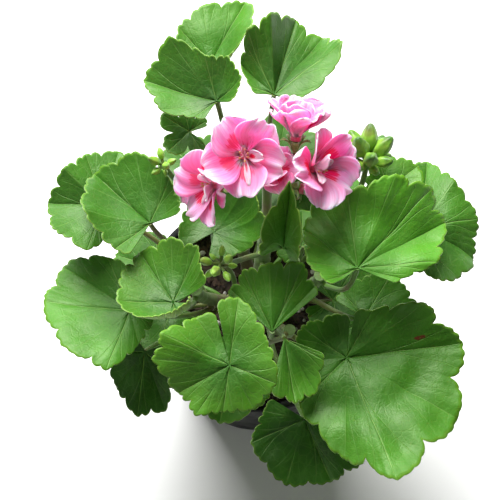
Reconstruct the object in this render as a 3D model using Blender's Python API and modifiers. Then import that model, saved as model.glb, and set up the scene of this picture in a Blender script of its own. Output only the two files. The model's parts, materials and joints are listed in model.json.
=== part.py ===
"""A double-flowered zonal geranium in a black nursery pot.

Lengths are in metres, +Z is up, and the origin is the centre of the pot's underside.
The camera side of the plant, its front, is -Y. Each leaf is one solid: its blade and
the stalk that carries it. Stalks start on the shoots, and the shoots stand in the mix.
"""

import math
from collections import namedtuple

import bmesh
import bpy
import numpy as np
from mathutils import Matrix, Vector
from mathutils.geometry import interpolate_bezier

MM = 0.001
GAP = 0.3 * MM
SAME_PLACE = 1e-6

POT_HEIGHT = 88 * MM
POT_TOP_RADIUS = 52 * MM
POT_FOOT_RADIUS = 37 * MM
POT_WALL = 1.6 * MM
POT_FLOOR = 2.0 * MM
POT_RIM_HEIGHT = 9 * MM
POT_RIM_STEP = 2.2 * MM
POT_SIDES = 26
EDGE = 0.6 * MM
DRAIN_HOLES = 6
DRAIN_RADIUS = 4 * MM
DRAIN_CIRCLE = 24 * MM
HOLE_SIDES = 12

SOIL_BELOW_RIM = 9 * MM
SOIL_TOP = POT_HEIGHT - SOIL_BELOW_RIM
SOIL_BUMP = 1.3 * MM
SOIL_WAVE_X = 7 * MM
SOIL_WAVE_Y = 5 * MM
SOIL_SIDES = 20
SOIL_RINGS = 3
ROOTED_DEPTH = 16 * MM
SHOOT_FOOT = SOIL_TOP + SOIL_BUMP + 1.5 * MM
SHOOT_STEPS = 6
SHOOT_BOW = 0.45

LEAF_THICK = 0.8 * MM
SCALLOPS_PER_LOBE = 3
SCALLOP_DEPTH = 0.06
PLEAT = 0.07
SMALL_LEAF = 50
LEAST_BEND = 1e-3
STALK_RADIUS = 1.2 * MM
STALK_POINTS = 4
STALK_KNEE = 2 * MM
STALK_BITE = 0.2 * MM
STALK_OUTWARD = 0.6
STALK_PULL = 0.35
STALK_LEAN = 0.35

PETAL_THICK = 0.7 * MM
PETAL_WIDEST = 0.66
PETAL_ROUND = 0.42
PETAL_CLAW = 0.14
PETAL_SWELL = 1.5
OPENS_FROM = 0.55
OPENS_TO = 1.25
PETAL_ROOT = 1.8 * MM
HEART_RADIUS = 2.2 * MM
HEART_TOP_RADIUS = 1.3 * MM
HEART_HEIGHT = 4.5 * MM
HEART_SIDES = 6
PETAL_CUP = 0.35
PETAL_BROAD = 1.05
PETAL_TWIST = math.radians(16)
CALYX_HEIGHT = 5 * MM
CALYX_TOP = 1.9 * MM
CALYX_FOOT = 1.0 * MM
CALYX_SIDES = 6
PEDICEL_RADIUS = 0.8 * MM
PEDICEL_POINTS = 4
PEDICEL_RISE = 0.6
UMBEL_PULL = 0.4
PEDUNCLE_RADIUS = 2.0 * MM
GOLDEN_TURN = math.radians(137.5)
BUD_SPREAD = 1.1
BUD_BREADTH = 0.55
FIRST_BUD = 1.15
BUD_FALL = 0.6
BUD_NECK_RADIUS = 0.7 * MM

COLOURS = {
    "leaf": (0.13, 0.36, 0.08),
    "stem": (0.24, 0.40, 0.12),
    "petal": (0.90, 0.32, 0.50),
    "bud": (0.34, 0.52, 0.12),
    "pot": (0.03, 0.03, 0.032),
    "mix": (0.10, 0.065, 0.045),
}

# A shoot rises from the mix at foot and ends at tip, in millimetres, with a bow outwards.
Shoot = namedtuple("Shoot", "foot tip foot_radius tip_radius")
SHOOTS = {
    "main": Shoot((0, 2), (4, 14, 140), 4.0, 2.8),
    "front": Shoot((3, -9), (14, -24, 118), 3.2, 2.4),
    "left": Shoot((-9, -2), (-26, -8, 124), 3.2, 2.4),
    "right": Shoot((10, 2), (27, -2, 126), 3.2, 2.4),
    "back": Shoot((-3, 13), (-12, 30, 130), 3.2, 2.4),
}

# A leaf's place is where its stalk meets the blade, in millimetres. Heading is the way
# that the blade points, away from its slit, with 0 at +X and 90 at the back, and pitch
# lifts that side. Each lobe has its turn from the heading, its length in millimetres and
# its lift off the blade's plane, from the right edge of the slit round to the left. Bowl
# is the share of the lift that grows towards the edge, end the angle of the outermost
# half lobe, and notch the depth between lobes. Angles in degrees.
Leaf = namedtuple(
    "Leaf", "shoot along place heading pitch lobes bowl end notch", defaults=(0.4, 20, 0.08)
)


# The five veins of an evenly grown blade, in degrees from its heading.
EVEN_TURNS = (-134, -67, 0, 67, 134)


def even_lobes(width, inset, lift):
    """Five lobes of a round blade, with the stalk off its middle by a share of half the width."""
    half = width / 2
    lobes = []
    for i, turn in enumerate(EVEN_TURNS):
        away = math.radians(turn)
        reach = inset * half * math.cos(away) + math.sqrt(half**2 - (inset * half * math.sin(away)) ** 2)
        lobes.append((turn, reach, lift if i % 2 else -lift))
    return tuple(lobes)


LEAVES = {
    "leaf_right": Leaf(
        "right", 0.95, (40, -15, 168), 66, -8,
        ((-78, 18, -4), (-60, 33, 0), (-32, 47, -8), (-17, 49, 4), (1, 42, 20),
         (33, 31, 26), (53, 35, 13), (78, 27, 4), (112, 21, 6), (145, 16, 10)),
        end=10,
    ),
    "leaf_front_right": Leaf(
        "front", 0.8, (37, -42, 135), -100, -4,
        ((-156, 19, 24), (-111, 24, 20), (-75, 25, 2), (-35, 28, 0), (8, 43, 2),
         (29, 58, 14), (70, 52, 0), (107, 49, 0), (132, 40, 20), (159, 23, 26)),
        notch=0.12,
    ),
    "leaf_front": Leaf(
        "front", 0.98, (-11, -55, 166), -64, -8,
        ((-170, 23, 0), (-137, 31, 18), (-118, 31, 8), (-88, 23, -10), (-60, 24, -14),
         (-33, 19, -16), (5, 20, -12), (43, 20, 0), (97, 18, 14), (147, 27, 8)),
    ),
    "leaf_centre": Leaf(
        "main", 0.6, (6, -37, 154), 84, 0,
        ((-34, 28, -6), (-18, 32, 3), (9, 28, 22), (32, 28, 11), (49, 25, 0)),
        end=8,
    ),
    "leaf_centre_low": Leaf(
        "front", 0.6, (11, -39, 151), -74, -20,
        ((-25, 25, 24), (-7, 27, 11), (15, 26, -3), (46, 18, 10)),
        end=8,
    ),
    "leaf_left_front": Leaf(
        "left", 0.95, (-34, -26, 158), 190, 0,
        ((-149, 20, 30), (-126, 26, 20), (-98, 27, 18), (-68, 27, -6), (-41, 25, 4),
         (-9, 23, 12), (40, 21, 45), (90, 19, 60), (138, 18, 60)),
        bowl=1.0,
    ),
    "leaf_left_low": Leaf(
        "left", 0.55, (-53, -23, 140), 190, -10,
        ((-112, 18, 2), (-77, 26, 4), (-47, 42, -12), (-19, 38, 0),
         (31, 31, 14), (64, 29, 12), (95, 15, -6), (137, 11, -16)),
    ),
    "leaf_left": Leaf(
        "left", 0.8, (-44, 7, 162), 142, 0,
        ((-118, 16, 30), (-79, 20, 28), (-40, 31, 14), (-7, 35, -8),
         (35, 29, 22), (84, 20, 16)),
    ),
    "leaf_left_far": Leaf(
        "left", 0.68, (-65, 22, 147), 172, -4,
        ((-93, 27, -6), (-62, 24, 8), (-32, 23, 24), (5, 24, 0),
         (42, 25, 14), (85, 24, 12), (120, 13, -6)),
    ),
    "leaf_back_left": Leaf(
        "back", 0.92, (-17, 59, 170), 124, -6,
        ((-146, 13, 40), (-104, 17, 45), (-55, 20, 40), (-19, 20, 34),
         (5, 34, 26), (37, 33, 0), (68, 24, 4), (99, 12, 6)),
    ),
    "leaf_back_tip": Leaf(
        "back", 0.7, (-20, 84, 158), 96, 10,
        ((-150, 12, 60), (-110, 16, 60), (-70, 25, 45), (-33, 34, -8),
         (2, 27, 0), (35, 22, 0), (76, 13, 10)),
        bowl=0.8,
    ),
    "leaf_back_right": Leaf(
        "main", 0.82, (7, 60, 174), 66, 0,
        ((-75, 13, 10), (-28, 37, 6), (-10, 39, -12), (10, 40, -6),
         (27, 34, 28), (51, 30, 30), (72, 19, 12), (101, 10, 20)),
    ),
    "leaf_far_right": Leaf(
        "right", 0.7, (69, 11, 146), 12, -10,
        ((-121, 20, 8), (-88, 27, 10), (-30, 28, -18), (4, 27, 0),
         (45, 28, 5), (68, 37, -10), (95, 28, 4), (128, 16, 0)),
    ),
    "leaf_mid_left": Leaf(
        "left", 0.35, (-18, 8, 150), 60, 0,
        ((-140, 13, 10), (-103, 17, 16), (-71, 32, 40), (-37, 32, 46),
         (12, 23, 34), (73, 16, 16), (132, 15, 10)),
        bowl=1.0,
    ),
    "leaf_folded": Leaf(
        "main", 0.85, (11, 1, 150), 76, 72,
        ((-75, 10, 50), (-30, 23, 45), (-12, 36, 24), (1, 48, 6),
         (13, 36, 24), (30, 23, 45), (75, 11, 50)),
        notch=0.12,
    ),
    "leaf_mid": Leaf("right", 0.5, (20, 13, 123), 90, 0, even_lobes(28, 0.3, 8)),
    "leaf_under_right": Leaf("right", 0.6, (46, -20, 122), -8, -6, even_lobes(42, 0.3, 8)),
    "leaf_low_front": Leaf(
        "front", 0.45, (20, -63, 116), -76, -20,
        ((-115, 18, 4), (-80, 25, 0), (-30, 29, 4), (10, 29, -4),
         (40, 31, 4), (75, 20, 0), (115, 14, 4)),
    ),
    "leaf_low_left": Leaf(
        "left", 0.45, (-48, -34, 118), -116, -20,
        ((-110, 12, 4), (-69, 16, 4), (-16, 20, -4), (20, 28, 4),
         (44, 27, -4), (75, 16, 4), (115, 12, 0)),
    ),
    "leaf_small": Leaf(
        "back", 0.4, (-29, 54, 152), 150, 10,
        ((-120, 9, 10), (-45, 13, 10), (4, 14, 10), (80, 15, 10), (150, 12, 10)),
        notch=0.4,
    ),
    "leaf_bud": Leaf("right", 0.25, (55, 25, 156), 40, 10, even_lobes(26, 0.3, 10)),
    "leaf_low_back_left": Leaf("back", 0.2, (-22, 50, 112), 130, -14, even_lobes(42, 0.4, 8)),
    "leaf_low_back_right": Leaf("main", 0.3, (28, 34, 112), 50, -14, even_lobes(42, 0.4, 8)),
    "leaf_low_back": Leaf("back", 0.5, (9, 52, 128), 80, -10, even_lobes(38, 0.4, 8)),
    "leaf_skirt_left": Leaf("left", 0.3, (-38, -8, 102), 190, -8, even_lobes(40, 0.4, 8)),
    "leaf_skirt_front": Leaf("front", 0.1, (-10, -32, 97), -104, -8, even_lobes(40, 0.4, 8)),
    "leaf_skirt_right": Leaf("right", 0.1, (34, -4, 100), -10, -8, even_lobes(40, 0.4, 8)),
    "leaf_skirt_back": Leaf("back", 0.1, (4, 40, 98), 84, -8, even_lobes(40, 0.4, 8)),
    "leaf_skirt_back_left": Leaf("left", 0.25, (-46, 14, 94), 155, -8, even_lobes(32, 0.4, 8)),
}

# A bud head: where its stalk starts, where the buds meet, which way they point, how many
# they are, about how long the middle ones are, and how many bud lengths their middles
# stand off.
BudHead = namedtuple("BudHead", "shoot along place heading lift buds bud_length away")
BUD_HEADS = {
    "bud_head_right": BudHead("right", 0.97, (45, 31, 168), 84, 56, 15, 8.4, 1.15),
    "bud_head_left": BudHead("back", 0.9, (-38, 26, 177), 180, 74, 7, 4.4, 1.15),
    "bud_head_young": BudHead("main", 0.75, (-15, -11, 161), -110, 70, 8, 4.8, 1.5),
}

# A floret: where it sits on its pedicel, which way it faces, its size, and its petals
# from the outer ring inwards, each ring as count, opening in degrees and length share.
UMBEL = (4, 22, 168)
Floret = namedtuple("Floret", "place heading lift width rings")
OPEN = ((5, 66, 1.0), (3, 32, 0.5))
CUPPED = ((5, 50, 1.0), (2, 24, 0.8))
ROLLED = ((3, 16, 1.0),)
FLORETS = {
    "floret_1": Floret((-5, 21, 197), -90, 64, 35, OPEN),
    "floret_2": Floret((-15, 16, 182), -150, 28, 34, OPEN),
    "floret_3": Floret((15, 29, 194), 85, 46, 32, CUPPED),
    "floret_4": Floret((6, 22, 182), -74, 68, 24, CUPPED),
    "floret_5": Floret((20, 19, 189), -20, 42, 35, OPEN),
    "floret_6": Floret((17, 14, 181), -15, 8, 22, ROLLED),
}


def new_object(name, data):
    obj = bpy.data.objects.new(name, data)
    PLANT.objects.link(obj)
    return obj


def make_material(name):
    material = bpy.data.materials.new(name)
    material.use_nodes = True
    shader = material.node_tree.nodes["Principled BSDF"]
    shader.inputs["Base Color"].default_value = (*COLOURS[name], 1)
    shader.inputs["Roughness"].default_value = 0.5
    return material


def applied(obj):
    """The object with its modifiers made part of its mesh."""
    graph = bpy.context.evaluated_depsgraph_get()
    mesh = bpy.data.meshes.new_from_object(obj.evaluated_get(graph))
    old = obj.data
    if obj.type == "CURVE":
        made = new_object(obj.name + "_mesh", mesh)
        bpy.data.objects.remove(obj)
        bm = bmesh.new()
        bm.from_mesh(mesh)
        bmesh.ops.remove_doubles(bm, verts=bm.verts, dist=SAME_PLACE)
        bm.to_mesh(mesh)
        bm.free()
        return made
    obj.modifiers.clear()
    obj.data = mesh
    bpy.data.meshes.remove(old)
    return obj


def tube(name, points, radii, sides_step=1):
    """A round rod along the points, closed at both ends."""
    curve = bpy.data.curves.new(name, "CURVE")
    curve.dimensions = "3D"
    curve.bevel_depth = 1.0
    curve.bevel_resolution = sides_step
    curve.use_fill_caps = True
    spline = curve.splines.new("POLY")
    spline.points.add(len(points) - 1)
    for point, place, radius in zip(spline.points, points, radii):
        point.co = (*place, 1)
        point.radius = radius
    return applied(new_object(name, curve))


def combined(obj, tools, operation, solver):
    """The object joined with, or cut by, all the tools at once; the tools are used up."""
    shelf = bpy.data.collections.new(obj.name + "_tools")
    bpy.context.scene.collection.children.link(shelf)
    for tool in tools:
        PLANT.objects.unlink(tool)
        shelf.objects.link(tool)
    boolean = obj.modifiers.new("combine", "BOOLEAN")
    boolean.operation = operation
    boolean.operand_type = "COLLECTION"
    boolean.collection = shelf
    boolean.solver = solver
    applied(obj)
    for tool in tools:
        bpy.data.objects.remove(tool)
    bpy.data.collections.remove(shelf)
    return obj


def dressed(obj, name, material):
    """Gives the finished object its name and its material."""
    obj.name = name
    obj.data.name = name
    obj.data.materials.clear()
    obj.data.materials.append(MATERIALS[material])
    return obj


def grid_sheet(name, across, along, place_of, thickness, thin=1):
    """A grid primitive bent by a formula and thickened evenly about it.

    place_of takes the two grid shares, 0 to 1, and gives the point. The inner rows keep
    one point in every thin.
    """
    bm = bmesh.new()
    bmesh.ops.create_grid(bm, x_segments=across, y_segments=along, size=0.5)
    if thin > 1:
        inner = [v for v in bm.verts if abs(v.co.y) < 0.5 - SAME_PLACE]
        for height in sorted({round(v.co.y, 6) for v in inner}):
            row = sorted((v for v in inner if round(v.co.y, 6) == height), key=lambda v: v.co.x)
            kept = {row[i]: row[i - i % thin] for i in range(len(row)) if i % thin}
            bmesh.ops.weld_verts(bm, targetmap=kept)
    for vert in bm.verts:
        vert.co = place_of(vert.co.x + 0.5, vert.co.y + 0.5)
    bmesh.ops.remove_doubles(bm, verts=bm.verts, dist=SAME_PLACE)
    bmesh.ops.triangulate(bm, faces=bm.faces)
    mesh = bpy.data.meshes.new(name)
    bm.to_mesh(mesh)
    bm.free()
    obj = new_object(name, mesh)
    solid = obj.modifiers.new("thickness", "SOLIDIFY")
    solid.thickness = thickness
    solid.offset = 0
    return applied(obj)


def between_lobes(values, first, last):
    """The values at the lobes' veins and halfway between them, from edge to edge of the slit."""
    halfway = [(a + b) / 2 for a, b in zip(values, values[1:])]
    inner = [value for pair in zip(values, halfway) for value in pair]
    return [first, *inner, values[-1], last]


def blade_point(leaf, around, share):
    """A point of the blade's middle surface, with the stalk at the origin and the heading along +X.

    Around counts half lobes from the right edge of the slit, so it is odd on the veins.
    """
    turns, lengths, lifts = zip(*leaf.lobes)
    knots = range(2 * len(turns) + 1)
    corners = between_lobes(turns, turns[0] - leaf.end, turns[-1] + leaf.end)
    turn = math.radians(np.interp(around, knots, corners))
    half_lobe = math.radians(np.interp(around, knots, np.gradient(corners)))
    reach = np.interp(around, knots, between_lobes(lengths, lengths[0], lengths[-1])) * MM
    lift = math.radians(np.interp(around, knots, between_lobes(lifts, lifts[0], lifts[-1])))
    across = abs(around % 2 - 1)
    reach *= 1 - leaf.notch * across**3
    reach *= 1 - SCALLOP_DEPTH * (1 - abs(math.cos(SCALLOPS_PER_LOBE * math.pi * across / 2)))
    first = lift * (1 - leaf.bowl)
    bend = 2 * lift * leaf.bowl
    if abs(bend) < LEAST_BEND:
        bend = LEAST_BEND
    angle = first + bend * share
    height = PLEAT * half_lobe * reach * share * math.sin(math.pi / 2 * across)
    out = reach * (math.sin(angle) - math.sin(first)) / bend - height * math.sin(angle)
    up = reach * (math.cos(first) - math.cos(angle)) / bend + height * math.cos(angle)
    return Vector((out * math.cos(turn), out * math.sin(turn), up))


def leaf_matrix(leaf):
    turn = Matrix.Rotation(math.radians(leaf.heading), 4, "Z")
    lift = Matrix.Rotation(math.radians(-leaf.pitch), 4, "Y")
    return Matrix.Translation(Vector(leaf.place) * MM) @ turn @ lift


def shoot_axis(name, share):
    """A point on the shoot's axis, and the direction in which it grows there."""
    shoot = SHOOTS[name]
    foot = Vector((*shoot.foot, SHOOT_FOOT / MM)) * MM
    tip = Vector(shoot.tip) * MM
    rise = (tip.z - foot.z) * SHOOT_BOW
    a, b, c, d = foot, foot + Vector((0, 0, rise)), tip - Vector((0, 0, rise)), tip
    s = 1 - share
    point = a * s**3 + b * 3 * s * s * share + c * 3 * s * share**2 + d * share**3
    slope = (b - a) * s * s + (c - b) * 2 * s * share + (d - c) * share**2
    return point, slope.normalized()


def shoot_radius(name, share):
    shoot = SHOOTS[name]
    return (shoot.foot_radius + (shoot.tip_radius - shoot.foot_radius) * share) * MM


def seat_on_shoot(name, share, towards, radius):
    """Where a stalk of this radius starts, just clear of the shoot's side, and its direction."""
    point, slope = shoot_axis(name, share)
    side = towards - point
    side -= slope * side.dot(slope)
    side.normalize()
    return point + side * (shoot_radius(name, share) + GAP), side


def stalk_path(start, side, end, arrive):
    """Square off the shoot's side, then a bow up to the end, as a list of points."""
    knee = start + side * STALK_KNEE
    leave = (side * STALK_OUTWARD + Vector((0, 0, 1))).normalized()
    pull = (end - knee).length * STALK_PULL
    bow = interpolate_bezier(knee, knee + leave * pull, end - arrive * pull, end, STALK_POINTS - 1)
    return [start, *bow]


def make_leaf(name, leaf):
    lobes = len(leaf.lobes)
    longest = max(length for turn, length, lift in leaf.lobes)
    spokes_per_vein = SCALLOPS_PER_LOBE if longest < SMALL_LEAF else 2 * SCALLOPS_PER_LOBE

    def place_of(u, v):
        return blade_point(leaf, u * 2 * lobes, v)

    blade = grid_sheet(name, 2 * lobes * spokes_per_vein, 2, place_of, LEAF_THICK, spokes_per_vein)
    world = leaf_matrix(leaf)
    blade.data.transform(world)
    end = world.translation - world.to_3x3() @ Vector((0, 0, STALK_BITE))
    arrive = (world.to_3x3() @ Vector((STALK_LEAN, 0, 1))).normalized()
    start, side = seat_on_shoot(leaf.shoot, leaf.along, end, STALK_RADIUS)
    points = stalk_path(start, side, end, arrive)
    stalk = tube(name + "_stalk", points, [STALK_RADIUS] * len(points))
    dressed(combined(blade, [stalk], "UNION", "MANIFOLD"), name, "leaf")


def make_shoot(name):
    steps = [i / SHOOT_STEPS for i in range(SHOOT_STEPS + 1)]
    points = [shoot_axis(name, s)[0] for s in steps]
    radii = [shoot_radius(name, s) for s in steps]
    points.insert(0, points[0] - Vector((0, 0, ROOTED_DEPTH)))
    radii.insert(0, radii[0])
    dressed(tube("shoot_" + name, points, radii, 2), "shoot_" + name, "stem")


def facing(place, heading, lift):
    """Turns +Z to the given heading and height above the horizon, at a place in millimetres."""
    turn = Matrix.Rotation(math.radians(heading), 4, "Z")
    tilt = Matrix.Rotation(math.radians(90 - lift), 4, "Y")
    return Matrix.Translation(Vector(place) * MM) @ turn @ tilt


def petal_point(length, width, opening, root, u, t):
    """A point of a petal that grows from the floret's axis and opens towards +X."""
    swell = math.sin(min(1.0, t / PETAL_WIDEST) * math.pi / 2) ** PETAL_SWELL
    half = width / 2 * (PETAL_CLAW + (1 - PETAL_CLAW) * swell)
    if t > PETAL_WIDEST:
        half *= math.sqrt(1 - ((t - PETAL_WIDEST) / PETAL_ROUND) ** 2)
    first, last = math.radians(opening * OPENS_FROM), math.radians(opening * OPENS_TO)
    bend = last - first
    angle = first + bend * t
    out = root[0] + length * (math.cos(first) - math.cos(angle)) / bend
    up = root[1] + length * (math.sin(angle) - math.sin(first)) / bend
    twist = PETAL_TWIST * min(1, 2 * t)
    across = u * half * math.cos(twist)
    lift = PETAL_CUP * u * u * half + u * half * math.sin(twist)
    return Vector((out - lift * math.cos(angle), across, up + lift * math.sin(angle)))


def make_floret(name, floret):
    length = floret.width * MM * 0.5
    world = facing(floret.place, floret.heading, floret.lift)
    pieces = []
    for ring, (count, opening, share) in enumerate(floret.rings):
        size = length * share
        root = (PETAL_ROOT * (1 - ring / 2), PETAL_ROOT * (1 + ring))

        def place_of(u, v):
            return petal_point(size, size * PETAL_BROAD, opening, root, 2 * u - 1, v)

        for i in range(count):
            petal = grid_sheet(name, 2, 4, place_of, PETAL_THICK)
            turn = math.tau * (i + 0.5 * ring) / count + ring
            petal.data.transform(Matrix.Rotation(turn, 4, "Z"))
            pieces.append(petal)
    heart = rod(name, HEART_RADIUS, HEART_TOP_RADIUS, 0, HEART_HEIGHT, HEART_SIDES)
    petals = combined(heart, pieces, "UNION", "MANIFOLD")
    petals.data.transform(world)
    dressed(petals, name, "petal")


def rod(name, low_radius, high_radius, low, high, sides):
    """A straight tapered rod along Z, as one closed solid."""
    bm = bmesh.new()
    rise = Matrix.Translation((0, 0, (low + high) / 2))
    bmesh.ops.create_cone(
        bm, cap_ends=True, segments=sides, radius1=low_radius, radius2=high_radius,
        depth=high - low, matrix=rise,
    )
    mesh = bpy.data.meshes.new(name)
    bm.to_mesh(mesh)
    bm.free()
    return new_object(name, mesh)


def make_flower_stalk():
    """The umbel's stem, with a pedicel and a calyx for each floret."""
    tip, slope = shoot_axis("main", 1)
    umbel = Vector(UMBEL) * MM
    foot = tip + slope * GAP
    straight = foot + slope * STALK_KNEE
    rise = (umbel - straight).length * UMBEL_PULL
    bow = interpolate_bezier(straight, straight + slope * rise, umbel - Vector((0, 0, rise)), umbel, 4)
    stem = tube("stem", [foot, *bow], [PEDUNCLE_RADIUS] * 5)
    pieces = []
    for name, floret in FLORETS.items():
        world = facing(floret.place, floret.heading, floret.lift)
        face = (world.to_3x3() @ Vector((0, 0, 1))).normalized()
        seat = world.translation - face * (CALYX_HEIGHT + GAP)
        reach = (seat - umbel).length * UMBEL_PULL
        up = (Vector((0, 0, PEDICEL_RISE)) + (seat - umbel).normalized()).normalized()
        end = seat + face * MM
        path = interpolate_bezier(umbel, umbel + up * reach, seat - face * reach, end, PEDICEL_POINTS)
        pieces.append(tube(name + "_pedicel", path, [PEDICEL_RADIUS] * PEDICEL_POINTS))
        calyx = rod(name + "_calyx", CALYX_FOOT, CALYX_TOP, -CALYX_HEIGHT - GAP, -GAP, CALYX_SIDES)
        calyx.data.transform(world)
        pieces.append(calyx)
    dressed(combined(stem, pieces, "UNION", "MANIFOLD"), "flower_stalk", "stem")


def make_bud_head(name, head):
    """Buds like small spindles on necks round the end of one stalk, the middle ones longest."""
    world = facing(head.place, head.heading, head.lift)
    face = (world.to_3x3() @ Vector((0, 0, 1))).normalized()
    centre = world.translation
    start, side = seat_on_shoot(head.shoot, head.along, centre, STALK_RADIUS)
    path = stalk_path(start, side, centre + face * MM, face)
    stalk = tube(name, path, [STALK_RADIUS] * len(path))
    pieces = []
    for i in range(head.buds):
        turn = i * GOLDEN_TURN
        lean = math.acos(1 - (i + 0.5) / head.buds * BUD_SPREAD)
        long = head.bud_length * MM * (FIRST_BUD - BUD_FALL * i / head.buds)
        reach = long * head.away
        spin = Matrix.Rotation(turn, 4, "Z") @ Matrix.Rotation(lean, 4, "Y")
        bm = bmesh.new()
        grow = Matrix.Translation((0, 0, reach)) @ Matrix.Diagonal((BUD_BREADTH, BUD_BREADTH, 1, 1))
        bmesh.ops.create_uvsphere(bm, u_segments=5, v_segments=3, radius=long / 2, matrix=grow)
        mesh = bpy.data.meshes.new(name)
        bm.to_mesh(mesh)
        bm.free()
        bud = new_object(name + "_bud", mesh)
        neck = rod(name + "_neck", BUD_NECK_RADIUS, BUD_NECK_RADIUS, 0, reach, 3)
        for piece in (bud, neck):
            piece.data.transform(world @ spin)
            pieces.append(piece)
    dressed(combined(stalk, pieces, "UNION", "MANIFOLD"), name, "bud")


def turned(name, profile, sides):
    """A solid of revolution about Z from its outline, which starts and ends on the axis."""
    bm = bmesh.new()
    verts = [bm.verts.new((r, 0, z)) for r, z in profile]
    for a, b in zip(verts, verts[1:]):
        bm.edges.new((a, b))
    mesh = bpy.data.meshes.new(name)
    bm.to_mesh(mesh)
    bm.free()
    obj = new_object(name, mesh)
    screw = obj.modifiers.new("turn", "SCREW")
    screw.steps = screw.render_steps = sides
    screw.use_merge_vertices = True
    screw.merge_threshold = SAME_PLACE
    return applied(obj)


def wall_radius(height):
    """The pot's outer radius below the rim, at a height above the ground."""
    return POT_FOOT_RADIUS + (POT_TOP_RADIUS - POT_RIM_STEP - POT_FOOT_RADIUS) * height / POT_HEIGHT


def make_pot():
    rim_foot = POT_HEIGHT - POT_RIM_HEIGHT
    inside = wall_radius(POT_HEIGHT) - POT_WALL
    profile = [
        (0, POT_FLOOR),
        (wall_radius(POT_FLOOR) - POT_WALL, POT_FLOOR),
        (inside, POT_HEIGHT - EDGE),
        (inside + EDGE, POT_HEIGHT),
        (POT_TOP_RADIUS - EDGE, POT_HEIGHT),
        (POT_TOP_RADIUS, POT_HEIGHT - EDGE),
        (POT_TOP_RADIUS - EDGE, rim_foot),
        (wall_radius(rim_foot), rim_foot),
        (wall_radius(0), EDGE),
        (wall_radius(0) - EDGE, 0),
        (0, 0),
    ]
    pot = turned("pot", profile, POT_SIDES)
    drills = []
    for i in range(DRAIN_HOLES):
        drill = rod("drill", DRAIN_RADIUS, DRAIN_RADIUS, -POT_FLOOR, 2 * POT_FLOOR, HOLE_SIDES)
        turn = Matrix.Rotation(math.tau * i / DRAIN_HOLES, 4, "Z")
        drill.data.transform(turn @ Matrix.Translation((DRAIN_CIRCLE, 0, 0)))
        drills.append(drill)
    dressed(combined(pot, drills, "DIFFERENCE", "EXACT"), "pot", "pot")


def make_mix():
    """The potting mix: it fills the pot, uneven on top, with a plain hole for each shoot."""
    floor = POT_FLOOR + GAP
    clear = POT_WALL + 2 * GAP
    low, high = wall_radius(floor) - clear, wall_radius(SOIL_TOP) - clear
    profile = [(high * i / SOIL_RINGS, SOIL_TOP) for i in range(SOIL_RINGS + 1)]
    mix = turned("potting_mix", [*profile, (low, floor), (0, floor)], SOIL_SIDES)
    for vert in mix.data.vertices:
        x, y, z = vert.co
        if z > SOIL_TOP - GAP:
            vert.co.z += SOIL_BUMP * math.sin(x / SOIL_WAVE_X + 1) * math.cos(y / SOIL_WAVE_Y)
    drills = []
    for shoot in SHOOTS.values():
        radius = shoot.foot_radius * MM + GAP
        drill = rod("drill", radius, radius, SOIL_TOP - ROOTED_DEPTH, POT_HEIGHT, HOLE_SIDES)
        drill.data.transform(Matrix.Translation((shoot.foot[0] * MM, shoot.foot[1] * MM, 0)))
        drills.append(drill)
    dressed(combined(mix, drills, "DIFFERENCE", "EXACT"), "potting_mix", "mix")


def main():
    make_pot()
    make_mix()
    for name in SHOOTS:
        make_shoot(name)
    for name, leaf in LEAVES.items():
        make_leaf(name, leaf)
    make_flower_stalk()
    for name, floret in FLORETS.items():
        make_floret(name, floret)
    for name, head in BUD_HEADS.items():
        make_bud_head(name, head)


for old in list(bpy.data.objects):
    bpy.data.objects.remove(old)
PLANT = bpy.data.collections.new("potted_double_geranium")
bpy.context.scene.collection.children.link(PLANT)
MATERIALS = {name: make_material(name) for name in COLOURS}
main()
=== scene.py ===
import json
import math
import random
from collections import namedtuple

import bpy
import numpy as np
from mathutils import Matrix, Vector, noise
from mathutils.geometry import interpolate_bezier

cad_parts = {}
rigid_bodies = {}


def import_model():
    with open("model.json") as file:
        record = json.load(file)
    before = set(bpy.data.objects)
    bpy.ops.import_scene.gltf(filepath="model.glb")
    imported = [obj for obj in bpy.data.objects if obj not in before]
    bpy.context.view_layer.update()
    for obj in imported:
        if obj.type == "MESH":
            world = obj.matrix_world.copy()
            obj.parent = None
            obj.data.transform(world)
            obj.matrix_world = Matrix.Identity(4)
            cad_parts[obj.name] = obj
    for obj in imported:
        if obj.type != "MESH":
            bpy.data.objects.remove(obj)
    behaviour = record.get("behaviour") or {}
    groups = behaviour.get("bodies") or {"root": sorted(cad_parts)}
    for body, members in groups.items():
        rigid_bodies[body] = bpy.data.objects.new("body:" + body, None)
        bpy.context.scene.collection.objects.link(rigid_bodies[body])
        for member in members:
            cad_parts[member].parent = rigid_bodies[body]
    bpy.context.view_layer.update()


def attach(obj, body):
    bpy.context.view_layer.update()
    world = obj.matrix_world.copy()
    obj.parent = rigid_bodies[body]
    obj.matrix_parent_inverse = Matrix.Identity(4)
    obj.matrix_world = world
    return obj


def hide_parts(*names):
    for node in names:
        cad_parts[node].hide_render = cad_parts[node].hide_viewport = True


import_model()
bpy.ops.object.select_all(action="DESELECT")


# THE POT
# A thin nursery pot, moulded in one shot from black polypropylene. Its wall tapers so
# that empty pots stack, a stepped band stiffens the rim, and six holes drain the floor.

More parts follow.
